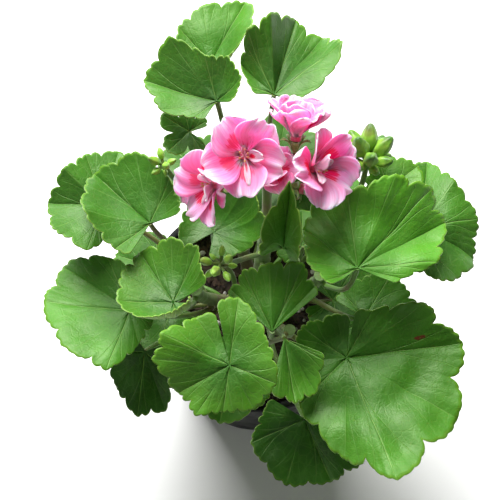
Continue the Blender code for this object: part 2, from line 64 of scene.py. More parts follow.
MM = 0.001
POT_HEIGHT = 88 * MM
POT_FOOT_RADIUS = 37 * MM
POT_RIM_RADIUS = 52 * MM
POT_WALL = 1.6 * MM
POT_FLOOR = 2 * MM
RIM_BAND = 9 * MM
RIM_STEP = 2.2 * MM
POT_SIDES = 96
RIM_ROUNDING = 0.5 * MM
RIM_LIP = 0.6 * MM
LIP_DROP = 1 * MM
FOOT_EDGE = 0.8 * MM
STACKING_LINE = 58 * MM
LINE_STEP = 0.5 * MM
DRAIN_HOLES = 6
DRAIN_RADIUS = 4 * MM
DRAIN_CIRCLE = 24 * MM
POT_BLACK = (0.004, 0.004, 0.005)
POT_SCUFFED = (0.016, 0.016, 0.015)


def feed(made, socket, value):
    """Links a pattern to a node's socket, or sets the socket to a number or a colour."""
    if isinstance(value, bpy.types.NodeSocket):
        value.id_data.links.new(value, made.inputs[socket])
    else:
        made.inputs[socket].default_value = value


def node(tree, kind, *values, **options):
    """Adds a node. Values go to its sockets in order, and options with a capital letter by name.

    Options in small letters are the node's own settings.
    """
    made = tree.nodes.new("ShaderNode" + kind)
    for option, value in options.items():
        if option[0].islower():
            setattr(made, option, value)
    for socket, value in (*enumerate(values), *options.items()):
        if not str(socket)[0].islower():
            feed(made, socket, value)
    return made


def shaded(finish, socket, value):
    """Feeds a socket of the material's shader. The socket's name may have _ for a space."""
    feed(finish.node_tree.nodes["Principled BSDF"], socket.replace("_", " "), value)


def new_finish(name, roughness, **fixed):
    """A new material. Fixed values name its shader's sockets."""
    finish = bpy.data.materials.new(name)
    finish.use_nodes = True
    for socket, value in (("Roughness", roughness), *fixed.items()):
        shaded(finish, socket, value)
    return finish


def maths(operation, *values):
    """The outcome of an operation on numbers and at least one pattern."""
    tree = next(value.id_data for value in values if isinstance(value, bpy.types.NodeSocket))
    return node(tree, "Math", *values, operation=operation).outputs[0]


def mixed(share, low, high):
    """The colour that is low where the pattern share is 0 and high where it is 1."""
    made = node(share.id_data, "Mix", share, data_type="RGBA")
    for socket, colour in ((6, low), (7, high)):
        feed(made, socket, (*colour, 1) if isinstance(colour, tuple) else colour)
    return made.outputs[2]


def graded(value, start, end, low=0.0, high=1.0):
    """Low where a pattern is at start, high where it is at end, smooth between."""
    made = node(value.id_data, "MapRange", value, start, end, low, high, interpolation_type="SMOOTHSTEP")
    return made.outputs[0]


def place_on(finish):
    return node(finish.node_tree, "TexCoord").outputs["Object"]


def cloudy(finish, scale, detail=4.0, *grades):
    """A soft random pattern from 0 to 1 with scale blotches to a metre, graded if grades are given."""
    clouds = node(finish.node_tree, "TexNoise", Vector=place_on(finish), Scale=scale, Detail=detail)
    return graded(clouds.outputs[0], *grades) if grades else clouds.outputs[0]


def relief(finish, height, depth):
    """Raises the surface's shading by depth metres where height is 1."""
    bump = node(finish.node_tree, "Bump", Strength=1.0, Distance=depth, Height=height)
    shaded(finish, "Normal", bump.outputs[0])


def coloured(finish, share, low, high):
    """Makes the surface low where share is 0 and high where it is 1."""
    shaded(finish, "Base Color", mixed(share, low, high))


def settled(piece, name, slot, *nodes):
    """Names a finished piece, gives it to the plant, and says which plain solids it stands for."""
    piece.name = piece.data.name = name
    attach(piece, "root")
    if nodes:
        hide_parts(*nodes)
    piece.select_set(False)


def choose(*pieces):
    """Selects these pieces alone and makes the first one active."""
    bpy.ops.object.select_all(action="DESELECT")
    for piece in pieces:
        piece.select_set(True)
    bpy.context.view_layer.objects.active = pieces[0]


def apply_all(piece):
    """Makes every modifier of the piece part of its mesh."""
    choose(piece)
    for modifier in list(piece.modifiers):
        bpy.ops.object.modifier_apply(modifier=modifier.name)


def edit_all():
    """Opens the active mesh for editing, with all of it selected."""
    bpy.ops.object.mode_set(mode="EDIT")
    bpy.ops.mesh.select_all(action="SELECT")


def face_outward():
    """Turns all faces of the open mesh outward, and closes it."""
    bpy.ops.mesh.select_all(action="SELECT")
    bpy.ops.mesh.normals_make_consistent(inside=False)
    bpy.ops.object.mode_set(mode="OBJECT")


def wall_radius(height):
    """The pot's outer radius below its rim band."""
    return POT_FOOT_RADIUS + (POT_RIM_RADIUS - RIM_STEP - POT_FOOT_RADIUS) * height / POT_HEIGHT


band_foot = POT_HEIGHT - RIM_BAND
pot_rings = [
    (wall_radius(0), FOOT_EDGE),
    (wall_radius(STACKING_LINE) - 0.1 * MM, STACKING_LINE),
    (wall_radius(STACKING_LINE) + LINE_STEP, STACKING_LINE + LINE_STEP),
    (wall_radius(band_foot) + 0.3 * MM, band_foot),
    (POT_RIM_RADIUS - RIM_LIP, band_foot),
    (POT_RIM_RADIUS, POT_HEIGHT - LIP_DROP),
    (POT_RIM_RADIUS - RIM_LIP, POT_HEIGHT),
    (wall_radius(POT_HEIGHT) - POT_WALL + RIM_LIP, POT_HEIGHT),
    (wall_radius(POT_HEIGHT) - POT_WALL, POT_HEIGHT - LIP_DROP),
    (wall_radius(POT_FLOOR) - POT_WALL, POT_FLOOR),
]
ring_radius, ring_height = wall_radius(0) - FOOT_EDGE, 0
bpy.ops.mesh.primitive_circle_add(vertices=POT_SIDES, radius=ring_radius, fill_type="NGON")
pot = bpy.context.object
edit_all()
for radius, height in pot_rings:
    bpy.ops.mesh.extrude_region_move(TRANSFORM_OT_translate={"value": (0, 0, height - ring_height)})
    bpy.ops.transform.resize(value=(radius / ring_radius, radius / ring_radius, 1), center_override=(0, 0, 0))
    ring_radius, ring_height = radius, height
face_outward()
drills = bpy.data.collections.new("drills")
bpy.context.scene.collection.children.link(drills)
for hole in range(DRAIN_HOLES):
    turn = math.tau * hole / DRAIN_HOLES
    bpy.ops.mesh.primitive_cylinder_add(
        vertices=32, radius=DRAIN_RADIUS, depth=3 * POT_FLOOR,
        location=(DRAIN_CIRCLE * math.cos(turn), DRAIN_CIRCLE * math.sin(turn), POT_FLOOR / 2),
    )
    drill = bpy.context.object
    drill.users_collection[0].objects.unlink(drill)
    drills.objects.link(drill)
drilling = pot.modifiers.new("drilling", "BOOLEAN")
drilling.operand_type = "COLLECTION"
drilling.collection = drills
rounding = pot.modifiers.new("rounding", "BEVEL")
rounding.width = RIM_ROUNDING
rounding.segments = 2
rounding.angle_limit = math.radians(40)
apply_all(pot)
bpy.data.batch_remove([*drills.objects, drills])
bpy.ops.object.shade_smooth_by_angle(angle=math.radians(35))

plastic = new_finish("pot_plastic", 0.5, Specular_IOR_Level=0.22)
scuffs = cloudy(plastic, 260.0, 6.0, 0.56, 0.74)
dust = cloudy(plastic, 45.0, 3.0, 0.45, 0.75, 0.0, 0.6)
coloured(plastic, maths("MAXIMUM", scuffs, dust), POT_BLACK, POT_SCUFFED)
shaded(plastic, "Roughness", cloudy(plastic, 70.0, 4.0, 0.3, 0.7, 0.42, 0.62))
relief(plastic, cloudy(plastic, 2400.0, 2.0), 0.03 * MM)
pot.data.materials.append(plastic)
settled(pot, "pot_fine", "pot", "pot")


# THE POTTING MIX
# Peat, crumbled bark and white perlite, pressed lightly round the roots by hand. It fills
# the pot to a finger's width under the rim, and its top is uneven and loose.

MIX_BELOW_RIM = 9 * MM
MIX_TOP = POT_HEIGHT - MIX_BELOW_RIM
MIX_CLEARANCE = 0.6 * MM
MIX_OFF_FLOOR = 0.3 * MM
MIX_BUMP = 1.3 * MM
MIX_ROUGHNESS = 0.9 * MM
MIX_SIDES = 72
MIX_RINGS = 14
CRUMBS_OFF_WALL = 1.5 * MM
PEAT_CRUMBS = 900
BARK_CHIPS = 130
PERLITE_GRAINS = 110
PEAT_DARK = (0.014, 0.009, 0.006)
PEAT_LIGHT = (0.055, 0.035, 0.021)
BARK_BROWN = (0.095, 0.052, 0.028)
PERLITE_WHITE = (0.55, 0.54, 0.51)
PERLITE_SHADED = (0.38, 0.36, 0.31)


def mix_level(x, y):
    """The height of the mix's uneven top at a place."""
    wide = MIX_BUMP * math.sin(x / (7 * MM) + 1) * math.cos(y / (5 * MM))
    return MIX_TOP + wide + MIX_ROUGHNESS * noise.noise(Vector((x, y, 0)) * 260)


def mottled(name, roughness, low, high, clouds, grain=None, depth=0, **fixed):
    """A new material with clouds in two colours and, if grain is given, a cloudy relief."""
    finish = new_finish(name, roughness, **fixed)
    coloured(finish, cloudy(finish, *clouds), low, high)
    if grain:
        relief(finish, cloudy(finish, *grain), depth)
    return finish


mix_low = wall_radius(POT_FLOOR) - POT_WALL - MIX_CLEARANCE
mix_high = wall_radius(MIX_TOP) - POT_WALL - MIX_CLEARANCE
bpy.ops.mesh.primitive_circle_add(
    vertices=MIX_SIDES, radius=mix_low, fill_type="NGON", location=(0, 0, POT_FLOOR + MIX_OFF_FLOOR)
)
mix = bpy.context.object
bpy.ops.object.transform_apply(location=True)
edit_all()
mix_depth = MIX_TOP - POT_FLOOR - MIX_OFF_FLOOR
bpy.ops.mesh.extrude_region_move(TRANSFORM_OT_translate={"value": (0, 0, mix_depth)})
bpy.ops.transform.resize(value=(mix_high / mix_low, mix_high / mix_low, 1), center_override=(0, 0, 0))
for ring in range(MIX_RINGS - 1):
    bpy.ops.mesh.inset(thickness=mix_high / MIX_RINGS)
bpy.ops.mesh.poke()
face_outward()
for point in mix.data.vertices:
    if point.co.z > MIX_TOP - 0.1 * MM:
        point.co.z = mix_level(point.co.x, point.co.y)
bpy.ops.object.shade_smooth()

peat = mottled("peat", 0.95, PEAT_DARK, PEAT_LIGHT, (420.0, 8.0, 0.35, 0.7), (900.0, 6.0), 0.8 * MM)
bark = mottled("bark_chips", 0.85, PEAT_DARK, BARK_BROWN, (500.0, 6.0), (1500.0,), 0.3 * MM)
perlite = mottled("perlite", 0.9, PERLITE_WHITE, PERLITE_SHADED, (700.0,), (2200.0,), 0.2 * MM)
mix.data.materials.append(peat)
settled(mix, "potting_mix_fine", "potting_mix", "potting_mix")

crumb_order = random.Random(7)


def in_scene(piece):
    """Adds a piece to the scene."""
    bpy.context.scene.collection.objects.link(piece)
    return piece


def copy_at(model, matrix):
    """A copy of a piece, with its own mesh turned and moved by a matrix."""
    copy = model.copy()
    copy.data = model.data.copy()
    copy.data.transform(matrix)
    return in_scene(copy)


def joined(parts):
    """Joins pieces into the first of them."""
    choose(*parts)
    bpy.ops.object.join()
    return parts[0]


def scatter(name, count, smallest, largest, flatness, finish):
    """Crumbs strewn over the mix, each a copy of one rough grain, joined to one piece."""
    bpy.ops.mesh.primitive_ico_sphere_add(subdivisions=1, radius=1)
    grain = bpy.context.object
    copies = []
    for _ in range(count):
        away = (mix_high - CRUMBS_OFF_WALL) * math.sqrt(crumb_order.random())
        turn = crumb_order.uniform(0, math.tau)
        x, y = away * math.cos(turn), away * math.sin(turn)
        size = crumb_order.uniform(smallest, largest) / 2
        sides = [size * crumb_order.uniform(0.65, 1.35) for _ in range(3)]
        lie = Matrix.Rotation(crumb_order.uniform(0, math.tau), 4, "Z")
        lie @= Matrix.Rotation(crumb_order.uniform(-0.7, 0.7), 4, "X")
        shape = Matrix.Diagonal((sides[0], sides[1], sides[2] * flatness, 1))
        place = Matrix.Translation((x, y, mix_level(x, y) + size * flatness * 0.3))
        copies.append(copy_at(grain, place @ lie @ shape))
    bpy.data.objects.remove(grain)
    strewn = joined(copies)
    strewn.data.materials.append(finish)
    settled(strewn, name, "potting_mix")


scatter("mix_peat_crumbs", PEAT_CRUMBS, 1.0 * MM, 2.8 * MM, 0.8, peat)
scatter("mix_bark_chips", BARK_CHIPS, 3.0 * MM, 6.0 * MM, 0.35, bark)
scatter("mix_perlite", PERLITE_GRAINS, 1.4 * MM, 3.2 * MM, 0.9, perlite)


# THE SHOOTS
# Five fleshy stems that grew from one cutting. Each is corky and brown near the mix and
# green higher up, swollen and ringed where leaves have grown, and rooted in the mix.

SHOOT_FOOT = MIX_TOP + MIX_BUMP + 1.5 * MM
ROOTED_DEPTH = 16 * MM
SHOOT_BOW = 0.45
SHOOT_STEPS = 60
SHOOT_RINGS = 5
RING_SWELLING = 0.10
SHOOT_UNEVEN = 0.35 * MM
SHOOT_CORK = (0.100, 0.062, 0.032)
SHOOT_GREEN = (0.085, 0.165, 0.026)
Shoot = namedtuple("Shoot", "foot tip foot_radius tip_radius")
SHOOTS = {
    "main": Shoot((0, 2), (4, 14, 140), 4.0, 2.8),
    "front": Shoot((3, -9), (14, -24, 118), 3.2, 2.4),
    "left": Shoot((-9, -2), (-26, -8, 124), 3.2, 2.4),
    "right": Shoot((10, 2), (27, -2, 126), 3.2, 2.4),
    "back": Shoot((-3, 13), (-12, 30, 130), 3.2, 2.4),
}


def shoot_axis(name, share):
    """A point on a shoot's middle line, and the way it grows there."""
    shoot = SHOOTS[name]
    foot = Vector((*shoot.foot, SHOOT_FOOT / MM)) * MM
    tip = Vector(shoot.tip) * MM
    rise = Vector((0, 0, (tip.z - foot.z) * SHOOT_BOW))
    a, b, c, d = foot, foot + rise, tip - rise, tip
    s = 1 - share
    point = a * s**3 + b * 3 * s * s * share + c * 3 * s * share**2 + d * share**3
    slope = (b - a) * s * s + (c - b) * 2 * s * share + (d - c) * share**2
    return point, slope.normalized()


def shoot_radius(name, share):
    shoot = SHOOTS[name]
    return (shoot.foot_radius + (shoot.tip_radius - shoot.foot_radius) * share) * MM


def round_stem(points, radii, finish, roundness=4):
    """A round stem along the points, closed at both ends, as one mesh. Radii may be one number."""
    line = bpy.data.curves.new("stem", "CURVE")
    line.dimensions = "3D"
    line.bevel_depth = 1.0
    line.bevel_resolution = roundness
    line.use_fill_caps = True
    spline = line.splines.new("POLY")
    spline.points.add(len(points) - 1)
    for at, place, radius in zip(spline.points, points, np.broadcast_to(radii, len(points))):
        at.co = (*place, 1)
        at.radius = radius
    choose(in_scene(bpy.data.objects.new("stem", line)))
    bpy.ops.object.convert(target="MESH")
    stem = bpy.context.object
    edit_all()
    bpy.ops.mesh.remove_doubles(threshold=0.001 * MM)
    face_outward()
    bpy.ops.object.shade_smooth_by_angle(angle=math.radians(60))
    stem.data.materials.append(finish)
    return stem


shoot_skin = new_finish("shoot_skin", 0.6, Sheen_Weight=0.15)
shoot_height = node(shoot_skin.node_tree, "SeparateXYZ", place_on(shoot_skin)).outputs[2]
ragged_height = maths("MULTIPLY_ADD", cloudy(shoot_skin, 150.0), 0.02, shoot_height)
corkiness = graded(ragged_height, 0.100, 0.132, 1.0, 0.0)
coloured(shoot_skin, corkiness, SHOOT_GREEN, SHOOT_CORK)
relief(shoot_skin, cloudy(shoot_skin, 900.0, 5.0), 0.25 * MM)

for name, shoot in SHOOTS.items():
    points, radii = [], []
    for step in range(SHOOT_STEPS + 1):
        share = step / SHOOT_STEPS
        ring = max(0.0, math.cos(share * math.tau * SHOOT_RINGS)) ** 6
        points.append(shoot_axis(name, share)[0])
        radii.append(shoot_radius(name, share) * (1 + RING_SWELLING * ring))
    points.insert(0, points[0] - Vector((0, 0, ROOTED_DEPTH)))
    radii.insert(0, radii[0])
    stem = round_stem(points, radii, shoot_skin, 7)
    for point in stem.data.vertices:
        point.co += point.normal * SHOOT_UNEVEN * noise.noise(point.co * 400)
    settled(stem, "shoot_" + name + "_fine", "stem", "shoot_" + name)


# THE LEAVES
# Round, fleshy blades with four to ten lobes and a scalloped edge, each on its own stalk.
# A vein runs from the stalk up the middle of every lobe, sunk in the top side, and forks
# towards the scallops. The blade grew in one piece with the stalk.

BLADE_THICK = 0.45 * MM
SCALLOP_WIDTH = 4.2 * MM
SCALLOP_DEPTH = 1.1 * MM
MOST_SCALLOPS = 7
PLEAT = 0.06
LOBE_COLUMNS = 36
BLADE_RINGS = 24
SMALL_LEAF = 26 * MM
EVEN_LOBE_TURNS = (-134, -67, 0, 67, 134)
FORK_SHARE = 0.26
FORK_END = 0.95
VEIN_SUNK = 0.34 * MM
GROOVE_WIDTH = 0.8 * MM
PUFFED = 0.12 * MM
PUFF_WIDTH = 2.2 * MM
EDGE_WAVE = 0.09 * MM
BLADE_WAVE = 2.2 * MM
WIDE_LOBES = 60
LESSER_VEIN = 0.6
STALK_RADIUS = 1.2 * MM
STALK_CLEARANCE = 0.3 * MM
STALK_KNEE = 2 * MM
STALK_BITE = 0.2 * MM
STALK_OUTWARD = 0.6
STALK_PULL = 0.35
STALK_LEAN = 0.35
STALK_STEPS = 28
FOOT_SWELLING = 0.25
STALK_TAPER = 0.15
LEAF_DEEP = (0.010, 0.060, 0.002)
LEAF_FRESH = (0.056, 0.220, 0.010)
LEAF_LIME = (0.175, 0.380, 0.022)
VEIN_PALE = (0.170, 0.320, 0.070)
UNDER_DEEP = (0.100, 0.220, 0.015)
UNDER_LIME = (0.230, 0.420, 0.022)
EDGE_PALE = (0.120, 0.250, 0.040)
SCAR_BROWN = (0.110, 0.020, 0.006)
SCARRED_LEAF, SCAR_AROUND, SCAR_SHARE = "front_right", 15.6, 0.70
STALK_GREEN = (0.080, 0.190, 0.020)
STALK_RED = (0.125, 0.085, 0.026)

# Place is where the stalk meets the blade, in millimetres. Heading is the way the blade
# points, away from its slit, and pitch lifts that side. Each lobe has its turn from the
# heading, its length in millimetres and its lift off the blade's plane, in degrees, from
# the right edge of the slit round to the left. Bowl is the share of the lift that grows
# towards the edge, end the angle of the outermost half lobe, and notch the depth between
# lobes. Fresh is how light the green is, lime how yellow, and veined how clear the veins.
# Fresh and lime are partly each leaf's own tone and partly painted light and shade.
Leaf = namedtuple(
    "Leaf",
    "shoot along place heading pitch lobes bowl end notch fresh lime veined",
    defaults=(0.4, 20, 0.08, 0.25, 0.05, 1.0),
)


def even_lobes(width, inset, lift=8):
    """Five lobes of a round blade whose stalk sits off its middle by a share of half the width."""
    half = width / 2
    lobes = []
    for i, turn in enumerate(EVEN_LOBE_TURNS):
        away = math.radians(turn)
        reach = inset * half * math.cos(away) + math.sqrt(half**2 - (inset * half * math.sin(away)) ** 2)
        lobes.append((turn, reach, lift if i % 2 else -lift))
    return tuple(lobes)


# The folded and right leaves' light fresh is painted light; the low, skirt, back and far right leaves' dark
# fresh is painted shade.
LEAVES = {
    "right": Leaf(
        "right", 0.95, (40, -15, 168), 66, -8,
        ((-78, 18, -4), (-60, 33, 0), (-32, 47, -8), (-17, 49, 4), (1, 42, 20),
         (33, 31, 26), (53, 35, 13), (78, 27, 4), (112, 21, 6), (145, 16, 10)),
        end=10, fresh=0.85, lime=0.08,
    ),
    "front_right": Leaf(
        "front", 0.8, (37, -42, 135), -100, -4,
        ((-156, 19, 24), (-111, 24, 20), (-75, 25, 2), (-35, 28, 0), (8, 43, 2),
         (29, 58, 14), (70, 52, 0), (107, 49, 0), (132, 40, 20), (159, 23, 26)),
        notch=0.12, fresh=0.5,
    ),
    "front": Leaf(
        "front", 0.98, (-11, -55, 166), -64, -8,
        ((-170, 23, 0), (-137, 31, 18), (-118, 31, 8), (-88, 23, -10), (-60, 24, -14),
         (-33, 19, -16), (5, 20, -12), (43, 20, 0), (97, 18, 14), (147, 27, 8)),
        fresh=0.45, lime=0.18,
    ),
    "centre": Leaf(
        "main", 0.6, (6, -37, 154), 84, 0,
        ((-34, 28, -6), (-18, 32, 3), (9, 28, 22), (32, 28, 11), (49, 25, 0)),
        end=8, fresh=0.6, lime=0.1,
    ),
    "centre_low": Leaf(
        "front", 0.6, (11, -39, 151), -74, -20,
        ((-25, 25, 24), (-7, 27, 11), (15, 26, -3), (46, 18, 10)),
        end=8, fresh=0.5, lime=0.1,
    ),
    "left_front": Leaf(
        "left", 0.95, (-34, -26, 158), 190, 0,
        ((-149, 20, 30), (-126, 26, 20), (-98, 27, 18), (-68, 27, -6), (-41, 25, 4),
         (-9, 23, 12), (40, 21, 45), (90, 19, 60), (138, 18, 60)),
        bowl=1.0, fresh=0.30, lime=0.15,
    ),
    "left_low": Leaf(
        "left", 0.55, (-53, -23, 140), 190, -10,
        ((-112, 18, 2), (-77, 26, 4), (-47, 42, -12), (-19, 38, 0),
         (31, 31, 14), (64, 29, 12), (95, 15, -6), (137, 11, -16)),
        fresh=0.5,
    ),
    "left": Leaf(
        "left", 0.8, (-44, 7, 162), 142, 0,
        ((-118, 16, 30), (-79, 20, 28), (-40, 31, 14), (-7, 35, -8),
         (35, 29, 22), (84, 20, 16)),
        fresh=0.28,
    ),
    "left_far": Leaf(
        "left", 0.68, (-65, 22, 147), 172, -4,
        ((-93, 27, -6), (-62, 24, 8), (-32, 23, 24), (5, 24, 0),
         (42, 25, 14), (85, 24, 12), (120, 13, -6)),
    ),
    "back_left": Leaf(
        "back", 0.92, (-17, 59, 170), 124, -6,
        ((-146, 13, 40), (-104, 17, 45), (-55, 20, 40), (-19, 20, 34),
         (5, 34, 26), (37, 33, 0), (68, 24, 4), (99, 12, 6)),
        fresh=0.3,
    ),
    "back_tip": Leaf(
        "back", 0.7, (-20, 84, 158), 96, 10,
        ((-150, 12, 60), (-110, 16, 60), (-70, 25, 45), (-33, 34, -8),
         (2, 27, 0), (35, 22, 0), (76, 13, 10)),
        bowl=0.8, fresh=0.5, lime=0.1,
    ),
    "back_right": Leaf(
        "main", 0.82, (7, 60, 174), 66, 0,
        ((-75, 13, 10), (-28, 37, 6), (-10, 39, -12), (10, 40, -6),
         (27, 34, 28), (51, 30, 30), (72, 19, 12), (101, 10, 20)),
        fresh=0.3,
    ),
    "far_right": Leaf(
        "right", 0.7, (69, 11, 146), 12, -10,
        ((-121, 20, 8), (-88, 27, 10), (-30, 28, -18), (4, 27, 0),
         (45, 28, 5), (68, 37, -10), (95, 28, 4), (128, 16, 0)),
        fresh=0.35,
    ),
    "mid_left": Leaf(
        "left", 0.35, (-18, 8, 150), 60, 0,
        ((-140, 13, 10), (-103, 17, 16), (-71, 32, 40), (-37, 32, 46),
         (12, 23, 34), (73, 16, 16), (132, 15, 10)),
        bowl=1.0, fresh=0.35, veined=0.3,
    ),
    # The folded leaf turns away from the lamp; its full fresh and lime paint the light it lacks.
    "folded": Leaf(
        "main", 0.85, (11, 1, 150), 76, 72,
        ((-75, 10, 50), (-30, 23, 45), (-12, 36, 24), (1, 48, 6),
         (13, 36, 24), (30, 23, 45), (75, 11, 50)),
        notch=0.12, fresh=1.0, lime=0.35,
    ),
    "mid": Leaf("right", 0.5, (20, 13, 123), 90, 0, even_lobes(28, 0.3), fresh=0.2),
    "under_right": Leaf("right", 0.6, (46, -20, 122), -8, -6, even_lobes(42, 0.3)),
    # The two low leaves' darkest green is painted shade from the leaves above them.
    "low_front": Leaf(
        "front", 0.45, (20, -63, 116), -76, -20,
        ((-115, 18, 4), (-80, 25, 0), (-30, 29, 4), (10, 29, -4), (40, 31, 4), (75, 20, 0), (115, 14, 4)),
        fresh=0.1, lime=0,
    ),
    "low_left": Leaf(
        "left", 0.45, (-48, -34, 118), -116, -20,
        ((-110, 12, 4), (-69, 16, 4), (-16, 20, -4), (20, 28, 4), (44, 27, -4), (75, 16, 4), (115, 12, 0)),
        fresh=0.1, lime=0,
    ),
    "small": Leaf(
        "back", 0.4, (-29, 54, 152), 150, 10,
        ((-120, 9, 10), (-45, 13, 10), (4, 14, 10), (80, 15, 10), (150, 12, 10)),
        notch=0.4, fresh=0.3,
    ),
    "bud": Leaf("right", 0.25, (55, 25, 156), 40, 10, even_lobes(26, 0.3, 10), fresh=0.5, lime=0.2),
    "low_back_left": Leaf("back", 0.2, (-22, 50, 112), 130, -14, even_lobes(42, 0.4), fresh=0.3),
    "low_back_right": Leaf("main", 0.3, (28, 34, 112), 50, -14, even_lobes(42, 0.4), fresh=0.3),
    "low_back": Leaf("back", 0.5, (9, 52, 128), 80, -10, even_lobes(38, 0.4), fresh=0.35),
    # The front and right skirt leaves' low fresh is painted shade from the leaves above them.
    "skirt_left": Leaf("left", 0.3, (-38, -8, 102), 190, -8, even_lobes(40, 0.4)),
    "skirt_front": Leaf("front", 0.1, (-10, -32, 97), -104, -8, even_lobes(40, 0.4), fresh=0.2),
    "skirt_right": Leaf("right", 0.1, (34, -4, 100), -10, -8, even_lobes(40, 0.4), fresh=0.2),
    "skirt_back": Leaf("back", 0.1, (4, 40, 98), 84, -8, even_lobes(40, 0.4)),
    "skirt_back_left": Leaf("left", 0.25, (-46, 14, 94), 155, -8, even_lobes(32, 0.4)),
}


def places_of(piece):
    """The places of all points of a piece, as rows."""
    places = np.empty(len(piece.data.vertices) * 3)
    piece.data.vertices.foreach_get("co", places)
    return places.reshape(-1, 3)


def flat_sheet(columns, rows):
    """A flat grid to shape, and where each of its points lies in it, from 0 to 1 both ways."""
    bpy.ops.mesh.primitive_grid_add(x_subdivisions=columns, y_subdivisions=rows, size=1)
    sheet = bpy.context.object
    across, along, _ = (places_of(sheet) + 0.5).T
    return sheet, across, along


def noted(sheet, **facts):
    """Stores numbers at every point of the sheet, which its finish reads."""
    for name, values in facts.items():
        held = sheet.data.attributes.new(name, "FLOAT", "POINT")
        held.data.foreach_set("value", np.broadcast_to(values, len(sheet.data.vertices)).astype(np.float32))


def fleshed_out(sheet, points, thickness, finishes):
    """Moves the sheet's points, closes its pole, and gives it a thickness and finishes.

    The finishes are those of its upper side, its underside and its rim.
    """
    sheet.data.vertices.foreach_set("co", np.asarray(points, np.float32).ravel())
    for finish in finishes:
        sheet.data.materials.append(finish)
    edit_all()
    bpy.ops.mesh.remove_doubles(threshold=0.001 * MM)
    bpy.ops.object.mode_set(mode="OBJECT")
    flesh = sheet.modifiers.new("flesh", "SOLIDIFY")
    flesh.thickness = thickness
    flesh.offset = 0
    flesh.material_offset = 1
    flesh.material_offset_rim = 2
    apply_all(sheet)
    bpy.ops.object.shade_smooth()


def leaf_matrix(leaf):
    turn = Matrix.Rotation(math.radians(leaf.heading), 4, "Z")
    lift = Matrix.Rotation(math.radians(-leaf.pitch), 4, "Y")
    return Matrix.Translation(Vector(leaf.place) * MM) @ turn @ lift


def placed(points, matrix):
    """Rows of points turned and moved by a matrix."""
    turned = np.array(matrix)
    return points @ turned[:3, :3].T + turned[:3, 3]


def with_halfway(values):
    """A value for each lobe's middle and, after it, one for halfway to the next lobe."""
    halfway = np.append((values[1:] + values[:-1]) / 2, values[-1])
    return np.column_stack((values, halfway)).ravel()


def blade_surface(leaf, around, share, seed):
    """The blade's middle surface, with the stalk at the origin, and the facts its finish needs.

    Around counts half lobes from the right edge of the slit, and share goes from the stalk
    to the edge. Across is 0 on a lobe's vein and 1 between lobes, arc is the width of half
    a lobe at the edge, and strength how clear the vein is. On a blade with many lobes every
    other one has a lesser vein, and apart goes from 0 on a main vein to 1 on a lesser one.
    """
    turns, lengths, lifts = (np.array(values, float) for values in zip(*leaf.lobes))
    knots = np.arange(2 * len(turns) + 1)
    corners = np.insert(with_halfway(turns), 0, turns[0] - leaf.end)
    corners[-1] = turns[-1] + leaf.end
    turn = np.radians(np.interp(around, knots, corners))
    reach, lift = (
        np.interp(around, knots, np.insert(with_halfway(values), 0, values[0])) for values in (lengths, lifts)
    )
    reach, lift = reach * MM, np.radians(lift)
    half_lobe = np.radians(np.interp(around, knots, np.gradient(corners)))
    across = np.abs(around % 2 - 1)
    apart = np.abs((around - 1) % 4 - 2) / 2
    if np.mean(np.diff(turns)) > WIDE_LOBES:
        apart = across / 2
    wobble = np.sin(2.1 * around + seed) + 0.7 * np.sin(3.4 * around + 2.3 * seed)
    full_reach = reach * (1 - leaf.notch * across**3)
    lobe = np.minimum((around / 2).astype(int), len(turns) - 1)
    lobe_arc = 2 * np.radians(np.gradient(corners))[2 * lobe + 1] * lengths[lobe] * MM
    scallops = 2 * np.clip(np.round((lobe_arc / SCALLOP_WIDTH - 1) / 2), 0, MOST_SCALLOPS // 2) + 1
    scallop = np.abs(np.cos(scallops * math.pi * (across + 0.06 * wobble * across * (1 - across)) / 2))
    reach = full_reach - SCALLOP_DEPTH * (1 + 0.35 * wobble) * (1 - scallop**0.6)
    reach *= 1 - 0.006 * np.abs(np.sin(scallops * 2.5 * math.pi * across + seed))
    arc = half_lobe * reach
    first, last = lift * (1 - leaf.bowl), 2 * lift * leaf.bowl
    last = np.where(np.abs(last) < 1e-3, 1e-3, last)
    end = first + last * share * reach / full_reach
    out = full_reach * (np.sin(end) - np.sin(first)) / last
    up = full_reach * (np.cos(first) - np.cos(end)) / last
    to_vein = across * arc * share
    fork = 2 / 3 * np.clip((share - FORK_SHARE) / (FORK_END - FORK_SHARE), 0, 1) ** 0.8
    to_fork = np.abs(across - fork) * arc * share
    size = np.sqrt(np.max(lengths) / 30)
    lesser = LESSER_VEIN * np.clip((share - 0.25) / 0.5, 0, 1)
    strength = np.where(apart > 0.5, lesser, 1.0) * leaf.veined
    folds = 1.4 * (1 - share) * np.sin(math.pi / 2 * apart)
    folds += 0.6 * share * np.sin(math.pi / 2 * across)
    height = PLEAT * leaf.veined * arc * share * folds
    groove = np.exp(-((to_vein / GROOVE_WIDTH) ** 2))
    height -= VEIN_SUNK * size * strength * (1 - 0.6 * share) * groove
    puffs = 1 - np.exp(-((np.minimum(to_vein, to_fork) / PUFF_WIDTH) ** 2))
    height += PUFFED * size * (1 - strength * (1 - puffs))
    height += EDGE_WAVE * size * share**6 * np.sin(scallops * math.pi * across + seed)
    places = zip(out * np.cos(turn), out * np.sin(turn))
    uneven = [noise.noise(Vector((a, b, seed * MM)) * 70) for a, b in places]
    height += BLADE_WAVE * size * np.array(uneven) * np.minimum(1, 2 * share)
    out, up = out - height * np.sin(end), up + height * np.cos(end)
    return np.column_stack((out * np.cos(turn), out * np.sin(turn), up)), across, arc, strength


